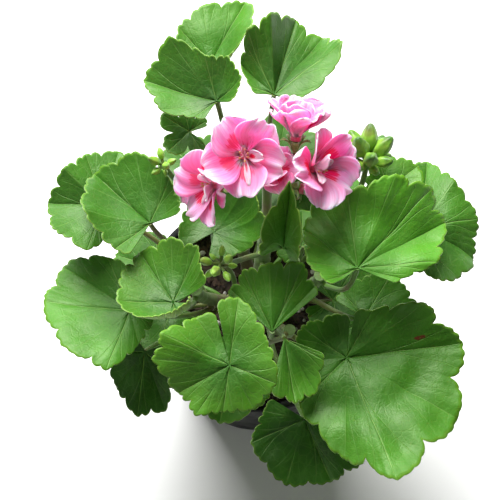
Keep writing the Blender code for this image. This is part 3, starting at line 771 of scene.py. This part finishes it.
def stalk_points(shoot, along, end, arrive, steps):
    """A stalk's middle line: square off its shoot's side, then a bow up to its end."""
    point, slope = shoot_axis(shoot, along)
    side = end - point
    side -= slope * side.dot(slope)
    side.normalize()
    start = point + side * (shoot_radius(shoot, along) + STALK_CLEARANCE)
    knee = start + side * STALK_KNEE
    leave = (side * STALK_OUTWARD + Vector((0, 0, 1))).normalized()
    pull = (end - knee).length * STALK_PULL
    bow = interpolate_bezier(knee, knee + leave * pull, end - arrive * pull, end, steps)
    return [start - side * MM, start, *bow]


def attribute(finish, name):
    return node(finish.node_tree, "Attribute", attribute_name=name).outputs["Fac"]


def product(a, b):
    return maths("MULTIPLY", a, b)


def vein_pattern(finish, width):
    """1 on the veins and 0 off them: the lobes' middle veins, their forks, and a fine net."""
    share = attribute(finish, "share")
    across = attribute(finish, "across")
    wander = maths("MULTIPLY_ADD", cloudy(finish, 120.0, 2.0), 0.10, -0.05)
    across = maths("ABSOLUTE", maths("MULTIPLY_ADD", wander, share, across))
    arc = product(attribute(finish, "arc"), share)
    spread = node(finish.node_tree, "MapRange", share, FORK_SHARE, FORK_END).outputs[0]
    fork = product(maths("POWER", spread, 0.8), 2 / 3)
    to_vein = product(across, arc)
    to_fork = product(maths("ABSOLUTE", maths("SUBTRACT", across, fork)), arc)
    middle = graded(to_vein, 0.2 * width, width, 1.0, 0.0)
    forks = graded(to_fork, 0.1 * width, 0.7 * width, 0.5, 0.0)
    place = place_on(finish)
    cells = node(finish.node_tree, "TexVoronoi", Vector=place, Scale=260.0, feature="DISTANCE_TO_EDGE")
    net = graded(cells.outputs[0], 0.0, 0.10, 0.15, 0.0)
    fade = graded(share, 0.75, 1.0, 1.0, 0.35)
    lines = maths("MAXIMUM", middle, forks)
    lines = product(lines, attribute(finish, "strength"))
    return product(maths("MAXIMUM", lines, net), fade)


def leaf_colour(finish, deep, fresh, lime, vein_share, veins):
    """The leaf's green, by its own tone with painted light and shade, by patches and from the stalk to the
    pale rim, with veins.
    """
    share = attribute(finish, "share")
    patches = cloudy(finish, 55.0, 3.0, 0.25, 0.75, -0.18, 0.18)
    outward = graded(share, 0.1, 1.0, -0.12, 0.14)
    # Fresh is partly each leaf's own tone and partly painted light and shade.
    tone_and_painted_light = maths("ADD", maths("ADD", attribute(finish, "fresh"), patches), outward)
    green = mixed(tone_and_painted_light, deep, fresh)
    yellow = product(attribute(finish, "lime"), graded(share, 0.2, 1.0))
    green = mixed(yellow, green, lime)
    green = mixed(graded(share, 0.955, 0.995, 0.0, 0.25), green, UNDER_LIME)
    return mixed(product(veins, vein_share), green, VEIN_PALE)


leaf_upper = new_finish(
    "leaf_upper", 0.5, Specular_IOR_Level=0.44, Specular_Tint=(0.88, 1.0, 0.70, 1.0),
    Subsurface_Weight=0.1, Subsurface_Scale=0.5 * MM,
)
upper_veins = vein_pattern(leaf_upper, 0.42 * MM)
upper_green = leaf_colour(leaf_upper, LEAF_DEEP, LEAF_FRESH, LEAF_LIME, 0.55, upper_veins)
ragged = cloudy(leaf_upper, 900.0, 4.0, 0.3, 0.6, 0.4, 1.2)
scar = graded(product(attribute(leaf_upper, "scar"), ragged), 0.35, 0.6)
coloured(leaf_upper, scar, upper_green, SCAR_BROWN)
shaded(leaf_upper, "Roughness", cloudy(leaf_upper, 90.0, 4.0, 0.3, 0.7, 0.45, 0.61))
felt = cloudy(leaf_upper, 1400.0, 3.0)
puckers = maths("MULTIPLY_ADD", cloudy(leaf_upper, 330.0, 2.0), 2.2, felt)
relief(leaf_upper, maths("MULTIPLY_ADD", upper_veins, -2.4, puckers), 0.11 * MM)

leaf_under = new_finish(
    "leaf_under", 0.6, Sheen_Weight=0.25, Sheen_Roughness=0.5,
    Subsurface_Weight=0.15, Subsurface_Scale=0.6 * MM,
)
under_veins = vein_pattern(leaf_under, 0.8 * MM)
under_green = leaf_colour(leaf_under, UNDER_DEEP, UNDER_LIME, UNDER_LIME, 0.6, under_veins)
shaded(leaf_under, "Base Color", under_green)
relief(leaf_under, maths("ADD", cloudy(leaf_under, 1400.0, 3.0), under_veins), 0.15 * MM)

leaf_edge = mottled("leaf_edge", 0.5, EDGE_PALE, UNDER_LIME, (300.0,), Sheen_Weight=0.2)
leaf_stalk = mottled(
    "leaf_stalk", 0.55, STALK_GREEN, STALK_RED, (60.0, 4.0, 0.4, 0.75), (1600.0, 3.0), 0.12 * MM,
    Sheen_Weight=0.15, Sheen_Roughness=0.4,
)

for seed, (name, leaf) in enumerate(LEAVES.items()):
    coarser = 2 if max(length for turn, length, lift in leaf.lobes) * MM < SMALL_LEAF else 1
    columns = len(leaf.lobes) * LOBE_COLUMNS // coarser
    blade, across_sheet, share = flat_sheet(columns, BLADE_RINGS // coarser)
    around = (1 - across_sheet) * 2 * len(leaf.lobes)
    points, across, arc, strength = blade_surface(leaf, around, share, 1.7 * seed)
    scarring = np.exp(-(((around - SCAR_AROUND) / 0.13) ** 2) - ((share - SCAR_SHARE) / 0.07) ** 2)
    noted(blade, share=share, across=across, arc=arc, strength=strength)
    noted(blade, fresh=leaf.fresh, lime=leaf.lime, scar=scarring * (name == SCARRED_LEAF))
    world = leaf_matrix(leaf)
    fleshed_out(blade, placed(points, world), BLADE_THICK, (leaf_upper, leaf_under, leaf_edge))
    end = world @ Vector((0, 0, -STALK_BITE))
    arrive = (world.to_3x3() @ Vector((STALK_LEAN, 0, 1))).normalized()
    line = stalk_points(leaf.shoot, leaf.along, end, arrive, STALK_STEPS)
    radii = [
        STALK_RADIUS * (1 + FOOT_SWELLING * math.exp(-i / 2)) * (1 - STALK_TAPER * i / len(line))
        for i in range(len(line))
    ]
    joined([blade, round_stem(line, radii, leaf_stalk)])
    settled(blade, "leaf_" + name + "_fine", "leaf", "leaf_" + name)


# THE FLOWER STALK
# One hairy green stem that carries the whole head. At its top the florets' own thin
# stems spread like spokes, and each ends in a cup of five pointed sepals.

UMBEL = (4, 22, 168)
PEDUNCLE_RADIUS = 2.0 * MM
PEDICEL_RADIUS = 0.8 * MM
PEDICEL_RISE = 0.6
UMBEL_PULL = 0.4
CUP_HEIGHT = 5 * MM
CUP_RADIUS = 1.9 * MM
CUP_STEPS = (-1.0, -0.9, -0.7, -0.4, -0.1, 0.02)
CUP_FORM = (PEDICEL_RADIUS * 1.2, 1.3 * MM, 1.7 * MM, CUP_RADIUS, CUP_RADIUS, 1.6 * MM)
SEPALS = 5
SEPAL_LENGTH = 8 * MM
SEPAL_WIDTH = 3 * MM
SEPAL_THICK = 0.35 * MM
SEPAL_GREEN = (0.190, 0.350, 0.075)
SEPAL_FLUSH = (0.420, 0.170, 0.110)

# A floret has its place in millimetres, the heading and height in degrees that it faces, its
# width, and its rings of petals from the outside in, as count, opening in degrees and length.
Floret = namedtuple("Floret", "place heading lift width rings")
OPEN = ((5, 66, 1.0), (3, 32, 0.5))
CUPPED = ((5, 50, 1.0), (2, 24, 0.8))
ROLLED = ((3, 16, 1.0),)
FLORETS = {
    "floret_1": Floret((-5, 21, 197), -90, 64, 35, OPEN),
    "floret_2": Floret((-15, 16, 182), -150, 28, 34, OPEN),
    "floret_3": Floret((15, 29, 194), 85, 46, 32, CUPPED),
    "floret_4": Floret((6, 22, 182), -74, 68, 24, CUPPED),
    "floret_5": Floret((20, 19, 189), -20, 42, 35, OPEN),
    "floret_6": Floret((17, 14, 181), -15, 8, 22, ROLLED),
}


def facing(place, heading, lift):
    """Turns a piece made along +Z to a heading and a height above the horizon, at a place."""
    turn = Matrix.Rotation(math.radians(heading), 4, "Z")
    tilt = Matrix.Rotation(math.radians(90 - lift), 4, "Y")
    return Matrix.Translation(Vector(place) * MM) @ turn @ tilt


def up_axis(world, height, steps):
    """Places up the axis of a turned piece, at these shares of a height."""
    return [world @ Vector((0, 0, height * step)) for step in steps]


sepal_skin = mottled(
    "sepal_skin", 0.55, SEPAL_GREEN, SEPAL_FLUSH, (130.0, 4.0, 0.45, 0.8), (1600.0, 3.0), 0.12 * MM,
    Sheen_Weight=0.4, Sheen_Roughness=0.4,
)

sepal, side, along = flat_sheet(6, 10)
side = 1 - 2 * side
half = SEPAL_WIDTH / 2 * np.sin(math.pi * np.clip(along * 0.92 + 0.08, 0, 1)) ** 0.6
lean = np.radians(15 + 45 * along)
sepal_points = np.column_stack((
    CUP_RADIUS * 0.8 + SEPAL_LENGTH * along * np.sin(lean) * 0.7,
    side * half,
    SEPAL_LENGTH * along * np.cos(lean) - CUP_HEIGHT * 0.75 + 0.4 * half * side**2,
))
fleshed_out(sepal, sepal_points, SEPAL_THICK, [sepal_skin] * 3)

tip, slope = shoot_axis("main", 1)
umbel = Vector(UMBEL) * MM
straight = tip + slope * STALK_KNEE
rise = (umbel - straight).length * UMBEL_PULL
bow = interpolate_bezier(straight, straight + slope * rise, umbel - Vector((0, 0, rise)), umbel, 24)
line = [tip - slope * MM, tip, *bow]
parts = [round_stem(line, PEDUNCLE_RADIUS, leaf_stalk, 6)]
for name, floret in FLORETS.items():
    world = facing(floret.place, floret.heading, floret.lift)
    face = world.col[2].xyz.normalized()
    seat = world.translation - face * CUP_HEIGHT
    reach = (seat - umbel).length * UMBEL_PULL
    up = (Vector((0, 0, PEDICEL_RISE)) + (seat - umbel).normalized()).normalized()
    line = interpolate_bezier(umbel, umbel + up * reach, seat - face * reach, seat + face * MM, 20)
    parts.append(round_stem(line, PEDICEL_RADIUS, leaf_stalk))
    parts.append(round_stem(up_axis(world, CUP_HEIGHT, CUP_STEPS), CUP_FORM, sepal_skin, 5))
    for i in range(SEPALS):
        parts.append(copy_at(sepal, world @ Matrix.Rotation(math.tau * (i + 0.5) / SEPALS, 4, "Z")))
bpy.data.objects.remove(sepal)
settled(joined(parts), "flower_stalk_fine", "stem", "flower_stalk")


# THE FLORETS
# Double flowers of thin, silky petals in two rings, five outside and two or three within,
# set in the sepal cup. The petals' narrow feet are pale with crimson lines, most carry a
# crimson blotch, and the youngest floret has only begun to unroll.

PETAL_THICK = 0.35 * MM
PETAL_WIDEST = 0.66
PETAL_ROUND = 0.42
PETAL_CLAW = 0.24
PETAL_SWELL = 1.5
OPENS_FROM = 0.55
OPENS_TO = 1.25
PETAL_ROOT = 1.8 * MM
PETAL_CUP = 0.35
PETAL_BROAD = 1.05
PETAL_TWIST = math.radians(16)
HEART_RADIUS = 2.2 * MM
HEART_HEIGHT = 4.5 * MM
HEART_STEPS = (0.0, 0.3, 0.7, 0.92, 1.0)
HEART_FORM = (HEART_RADIUS, HEART_RADIUS, 1.7 * MM, 1.3 * MM, 0.5 * MM)
PETAL_COLUMNS, PETAL_ROWS = 20, 24
LEAST_RUFFLE, MOST_RUFFLE = 0.10, 0.24
PALE_INNER = 0.7
FILAMENTS = 6
LEAST_FILAMENT, MOST_FILAMENT = 4.0 * MM, 6.5 * MM
FILAMENT_BEND = 0.6 * MM
FILAMENT_FORM = (0.45 * MM, 0.38 * MM, 0.32 * MM, 0.27 * MM, 0.2 * MM)
ANTHER_SIZE = (0.45 * MM, 0.45 * MM, 0.8 * MM, 1)
PETAL_PINK = (0.990, 0.075, 0.255)
PETAL_LIGHT = (0.990, 0.395, 0.620)
PETAL_RIM = (0.990, 0.620, 0.760)
PETAL_WHITE = (0.990, 0.460, 0.560)
PETAL_CRIMSON = (0.800, 0.004, 0.045)
PETAL_CREAM = (0.930, 0.780, 0.660)
FILAMENT_WHITE = (0.900, 0.820, 0.780)
ANTHER_RUST = (0.600, 0.250, 0.160)
ANTHER_GOLD = (0.750, 0.420, 0.140)

# The inner petals of the open florets, each as turn, opening, length and breadth.
INNER_PETALS = {
    "floret_1": ((8, 66, 0.72, 0.20), (84, 38, 0.62, 0.45), (190, 30, 0.34, 0.35)),
    "floret_2": ((120, 44, 0.80, 0.40), (205, 34, 0.55, 0.50), (30, 62, 0.50, 0.25)),
    "floret_5": ((175, 30, 0.80, 0.40), (260, 46, 0.65, 0.35), (70, 34, 0.45, 0.40)),
}
petal_order = random.Random(11)


def petal_surface(length, width, opening, root, side, along, ruffle):
    """A petal that grows from the floret's axis and opens towards +X. Side runs from -1 to 1."""
    swell = np.sin(np.minimum(1, along / PETAL_WIDEST) * math.pi / 2) ** PETAL_SWELL
    half = width / 2 * (PETAL_CLAW + (1 - PETAL_CLAW) * swell)
    past = np.clip((along - PETAL_WIDEST) / PETAL_ROUND, 0, 1)
    half *= np.sqrt(1 - past**2)
    reach = along * (1 - 0.13 * side**4 * along**2 - 0.05 * np.exp(-((side / 0.22) ** 2)) * along**6)
    first, last = math.radians(opening * OPENS_FROM), math.radians(opening * OPENS_TO)
    bend = last - first
    angle = first + bend * reach
    out = root[0] + length * (np.cos(first) - np.cos(angle)) / bend
    up = root[1] + length * (np.sin(angle) - np.sin(first)) / bend
    turned = PETAL_TWIST * np.minimum(1, 2 * along)
    wave = np.sin(5.5 * side + ruffle * 40) + 0.5 * np.sin(11 * side - ruffle * 90)
    across = side * half * np.cos(turned)
    lift = PETAL_CUP * side**2 * half + side * half * np.sin(turned) + ruffle * half * along**2 * wave
    return np.column_stack((out - lift * np.cos(angle), across, up + lift * np.sin(angle)))


def petal_finish(name, light_share, blotched):
    """The skin of a petal's face, with crimson lines and a blotch, or of its paler back."""
    finish = new_finish(
        name, 0.5, Specular_IOR_Level=0.3, Subsurface_Weight=0.9, Subsurface_Scale=3.0 * MM,
        Subsurface_Radius=(1.0, 0.4, 0.6),
    )
    side = attribute(finish, "petal_side")
    along = attribute(finish, "petal_along")
    tint = attribute(finish, "petal_tint")
    fine, coarse = product(side, 14.0), product(along, 1.6)
    stretched = node(finish.node_tree, "CombineXYZ", fine, coarse, tint).outputs[0]
    streaks = node(finish.node_tree, "TexNoise", Vector=stretched, Scale=1.0, Detail=3.0).outputs[0]
    depth = maths("ADD", graded(streaks, 0.3, 0.7, -0.15, 0.15), light_share)
    depth = maths("ADD", depth, graded(along, 0.35, 1.0, -0.10, 0.30))
    pink = mixed(maths("MULTIPLY_ADD", tint, 0.45, depth), PETAL_PINK, PETAL_LIGHT)
    rim = product(graded(along, 0.70, 1.0), graded(streaks, 0.35, 0.65, 0.3, 0.9))
    pink = mixed(rim, pink, PETAL_RIM)
    pink = mixed(attribute(finish, "petal_pale"), pink, PETAL_RIM)
    foot = graded(along, 0.10, 0.26, 1.0, 0.0)
    pink = mixed(foot, pink, PETAL_WHITE)
    if blotched:
        ripple = maths("ABSOLUTE", maths("SINE", product(side, 9.0)))
        lines = product(graded(ripple, 0.0, 0.55, 1.0, 0.0), graded(along, 0.34, 0.20, 0.0, 0.9))
        pink = mixed(lines, pink, PETAL_CRIMSON)
        span = product(maths("SUBTRACT", along, 0.40), 4.8)
        width = product(side, 1.7)
        away = maths("MULTIPLY_ADD", span, span, product(width, width))
        ragged = maths("ADD", away, graded(streaks, 0.2, 0.8, 0.7, -0.7))
        blotch = product(graded(ragged, 0.35, 1.1, 1.0, 0.0), attribute(finish, "petal_blotch"))
        pink = mixed(blotch, pink, PETAL_CRIMSON)
    young = attribute(finish, "petal_young")
    pink = mixed(product(young, 0.85), pink, PETAL_CREAM)
    border = graded(maths("MULTIPLY_ADD", streaks, 0.2, maths("ABSOLUTE", side)), 0.82, 1.0)
    pink = mixed(product(border, young), pink, PETAL_CRIMSON)
    shaded(finish, "Base Color", pink)
    relief(finish, streaks, 0.28 * MM)
    return finish


petal_face = petal_finish("petal_face", 0.30, True)
petal_back = petal_finish("petal_back", 0.50, False)
petal_heart = mottled("petal_heart", 0.5, PETAL_LIGHT, PETAL_CRIMSON, (900.0,))
filament_skin = mottled(
    "filament_skin", 0.45, FILAMENT_WHITE, PETAL_LIGHT, (500.0,),
    Subsurface_Weight=0.2, Subsurface_Scale=0.4 * MM,
)
anther_skin = mottled("anther_skin", 0.8, ANTHER_RUST, ANTHER_GOLD, (2000.0,))

bpy.ops.mesh.primitive_uv_sphere_add(segments=8, ring_count=6, radius=1)
anther = bpy.context.object
anther.data.transform(Matrix.Diagonal(ANTHER_SIZE))
anther.data.materials.append(anther_skin)

for name, floret in FLORETS.items():
    world = facing(floret.place, floret.heading, floret.lift)
    parts = []
    for ring, (count, opening, length_share) in enumerate(floret.rings):
        root = (PETAL_ROOT * (1 - ring / 2), PETAL_ROOT * (1 + ring))
        step = 360 / count
        first_turn = 0.5 * ring * step + math.degrees(ring)
        petals = [(first_turn + i * step, opening, length_share, PETAL_BROAD) for i in range(count)]
        listed = ring == 1 and name in INNER_PETALS
        if listed:
            petals = INNER_PETALS[name]
        for turn, opens, long, broad in petals:
            petal, side, along = flat_sheet(PETAL_COLUMNS, PETAL_ROWS)
            side = 1 - 2 * side
            size = floret.width * MM / 2 * long
            length = size * petal_order.uniform(0.94, 1.06)
            opens += petal_order.uniform(-6, 6)
            ruffle = petal_order.uniform(LEAST_RUFFLE, MOST_RUFFLE)
            points = petal_surface(length, size * broad, opens, root, side, along, ruffle)
            noted(
                petal, petal_side=side, petal_along=along, petal_tint=petal_order.random(),
                petal_blotch=petal_order.choice((0.3, 0.8, 1.0, 1.0)),
                petal_young=floret.rings is ROLLED, petal_pale=PALE_INNER * listed,
            )
            points = placed(points, world @ Matrix.Rotation(math.radians(turn), 4, "Z"))
            fleshed_out(petal, points, PETAL_THICK, (petal_face, petal_back, petal_back))
            parts.append(petal)
    parts.append(round_stem(up_axis(world, HEART_HEIGHT, HEART_STEPS), HEART_FORM, petal_heart))
    if floret.rings is OPEN:
        for i in range(FILAMENTS):
            lean = Matrix.Rotation(math.tau * i / FILAMENTS, 4, "Z")
            lean @= Matrix.Rotation(petal_order.uniform(0.1, 0.5), 4, "Y")
            long = petal_order.uniform(LEAST_FILAMENT, MOST_FILAMENT)
            foot = Vector((0, 0, HEART_HEIGHT * 0.7))
            steps = [Vector((FILAMENT_BEND * t * t, 0, long * t)) for t in (0, 0.25, 0.5, 0.75, 1)]
            line = [world @ (foot + lean @ step) for step in steps]
            parts.append(round_stem(line, FILAMENT_FORM, filament_skin, 2))
            parts.append(copy_at(anther, Matrix.Translation(line[-1]) @ world.to_3x3().to_4x4() @ lean))
    settled(joined(parts), name + "_fine", "petal", name)
bpy.data.objects.remove(anther)


# THE BUD HEADS
# Heads that have not opened yet: spindle-shaped buds on short necks at the end of one hairy
# stalk, the middle ones longest. Each bud is wrapped in five keeled green sepals that close
# to a point.

BUD_SPREAD = 1.1
BUD_BREADTH = 0.64
BUD_KEEL = 0.09
FIRST_BUD = 1.15
BUD_FALL = 0.6
BUD_NECK_RADIUS = 0.7 * MM
GOLDEN_TURN = math.radians(137.5)
BUD_GREEN = (0.032, 0.125, 0.006)
BUD_LIGHT = (0.230, 0.450, 0.035)
BUD_FLUSH = (0.120, 0.070, 0.020)

# A head has the shoot it grows from and how far along, its place in millimetres, the heading
# and height in degrees that it faces, and its number and length of buds. Away is how many
# lengths the buds' middles stand off that place, full how much bigger than their length says
# the buds are, and fresh how light their green is.
BudHead = namedtuple("BudHead", "shoot along place heading lift buds bud_length away full fresh")
BUD_HEADS = {
    "right": BudHead("right", 0.97, (45, 31, 168), 84, 56, 15, 8.4, 1.15, 1.12, 0.25),
    "left": BudHead("back", 0.9, (-38, 26, 177), 180, 74, 7, 4.4, 1.15, 1.15, 0.5),
    "young": BudHead("main", 0.75, (-15, -11, 161), -110, 70, 8, 4.8, 1.5, 1.15, 0.8),
}

bud_skin = new_finish(
    "bud_skin", 0.45, Sheen_Weight=0.1, Subsurface_Weight=0.1, Subsurface_Scale=0.5 * MM
)
ragged = cloudy(bud_skin, 260.0, 4.0, 0.3, 0.7, -0.2, 0.2)
towards_tip = maths("ADD", attribute(bud_skin, "bud_along"), ragged)
towards_tip = maths("SUBTRACT", towards_tip, attribute(bud_skin, "bud_fresh"))
bud_green = mixed(graded(towards_tip, 0.1, 0.9), BUD_LIGHT, BUD_GREEN)
coloured(bud_skin, cloudy(bud_skin, 170.0, 2.0, 0.56, 0.72, 0.0, 0.5), bud_green, BUD_FLUSH)
relief(bud_skin, cloudy(bud_skin, 1800.0, 3.0), 0.10 * MM)

bpy.ops.mesh.primitive_uv_sphere_add(segments=20, ring_count=14, radius=0.5)
bud = bpy.context.object
places = places_of(bud)
bud_along = places[:, 2] + 0.5
keels = 1 + BUD_KEEL * np.cos(SEPALS * np.arctan2(places[:, 1], places[:, 0]))
pointed = 1 - 0.45 * np.clip(bud_along - 0.5, 0, 1)
places[:, :2] *= (keels * pointed)[:, None] * BUD_BREADTH
places[:, 2] = places[:, 2] * 1.04 + 0.12 * np.clip(bud_along - 0.8, 0, 1) * 2
bud.data.vertices.foreach_set("co", places.ravel())
noted(bud, bud_along=bud_along)
bud.data.materials.append(bud_skin)
bpy.ops.object.shade_smooth()
bud_order = random.Random(5)

for name, head in BUD_HEADS.items():
    world = facing(head.place, head.heading, head.lift)
    face = world.col[2].xyz.normalized()
    line = stalk_points(head.shoot, head.along, world.translation + face * MM, face, STALK_STEPS)
    parts = [round_stem(line, STALK_RADIUS, leaf_stalk, 5)]
    for i in range(head.buds):
        lean = math.acos(1 - (i + 0.5) / head.buds * BUD_SPREAD)
        long = head.bud_length * MM * (FIRST_BUD - BUD_FALL * i / head.buds)
        spin = Matrix.Rotation(i * GOLDEN_TURN, 4, "Z") @ Matrix.Rotation(lean, 4, "Y")
        size = long * head.full * bud_order.uniform(0.92, 1.05)
        perch = Matrix.Translation((0, 0, long * head.away))
        parts.append(copy_at(bud, world @ spin @ perch @ Matrix.Scale(size, 4)))
        noted(parts[-1], bud_fresh=head.fresh)
        neck = up_axis(world @ spin, long * head.away, (0, 0.25, 0.5, 0.75))
        parts.append(round_stem(neck, BUD_NECK_RADIUS, leaf_stalk, 2))
    settled(joined(parts), "bud_head_" + name + "_fine", "bud", "bud_head_" + name)
bpy.data.objects.remove(bud)


# THE STAND
# A wide, pale table top for the pot to stand on. One broad soft lamp shines from behind and
# above, a weak one from the front left opens the shadows, and the room is plain and dim.

CAMERA_ELEVATION = math.radians(68)
CAMERA_TARGET = Vector((-0.003, 0, 0.150))
CAMERA_DISTANCE = 0.60
CAMERA_LENS = 104
TABLE_SIZE = 30
TABLE_WHITE = (0.90, 0.90, 0.89)
TABLE_SHADE = (0.87, 0.87, 0.86)
KEY_PLACE, KEY_SIZE, KEY_POWER = (-0.3, 1.0, 1.3), 1.15, 81
FILL_PLACE, FILL_SIZE, FILL_POWER = (-0.9, -1.2, 0.9), 1.2, 4
LAMPS_AIM = Vector((0, 0, 0.12))
ROOM_LIGHT = 0.10

bpy.ops.mesh.primitive_plane_add(size=TABLE_SIZE)
table_top = bpy.context.object
table_top.name = "table_top"
table_top.data.materials.append(mottled("table_finish", 0.7, TABLE_WHITE, TABLE_SHADE, (3.0,)))

back = Vector((0, -math.cos(CAMERA_ELEVATION), math.sin(CAMERA_ELEVATION)))
camera = in_scene(bpy.data.objects.new("camera", bpy.data.cameras.new("camera")))
camera.data.lens = CAMERA_LENS
camera.data.sensor_width = 36
camera.data.clip_end = 20
camera.location = CAMERA_TARGET + back * CAMERA_DISTANCE
camera.rotation_euler = (-back).to_track_quat("-Z", "Y").to_euler()
bpy.context.scene.camera = camera


def soft_lamp(name, place, size, power):
    """A square soft lamp that shines at the plant."""
    lamp = in_scene(bpy.data.objects.new(name, bpy.data.lights.new(name, "AREA")))
    lamp.data.size = size
    lamp.data.energy = power
    lamp.location = place
    lamp.rotation_euler = (LAMPS_AIM - Vector(place)).to_track_quat("-Z", "Y").to_euler()


soft_lamp("key_lamp", KEY_PLACE, KEY_SIZE, KEY_POWER)
soft_lamp("fill_lamp", FILL_PLACE, FILL_SIZE, FILL_POWER)
room = bpy.data.worlds.new("room")
bpy.context.scene.world = room
room.use_nodes = True
room.node_tree.nodes["Background"].inputs[0].default_value = (1, 1, 1, 1)
room.node_tree.nodes["Background"].inputs[1].default_value = ROOM_LIGHT
bpy.context.scene.view_settings.view_transform = "Standard"
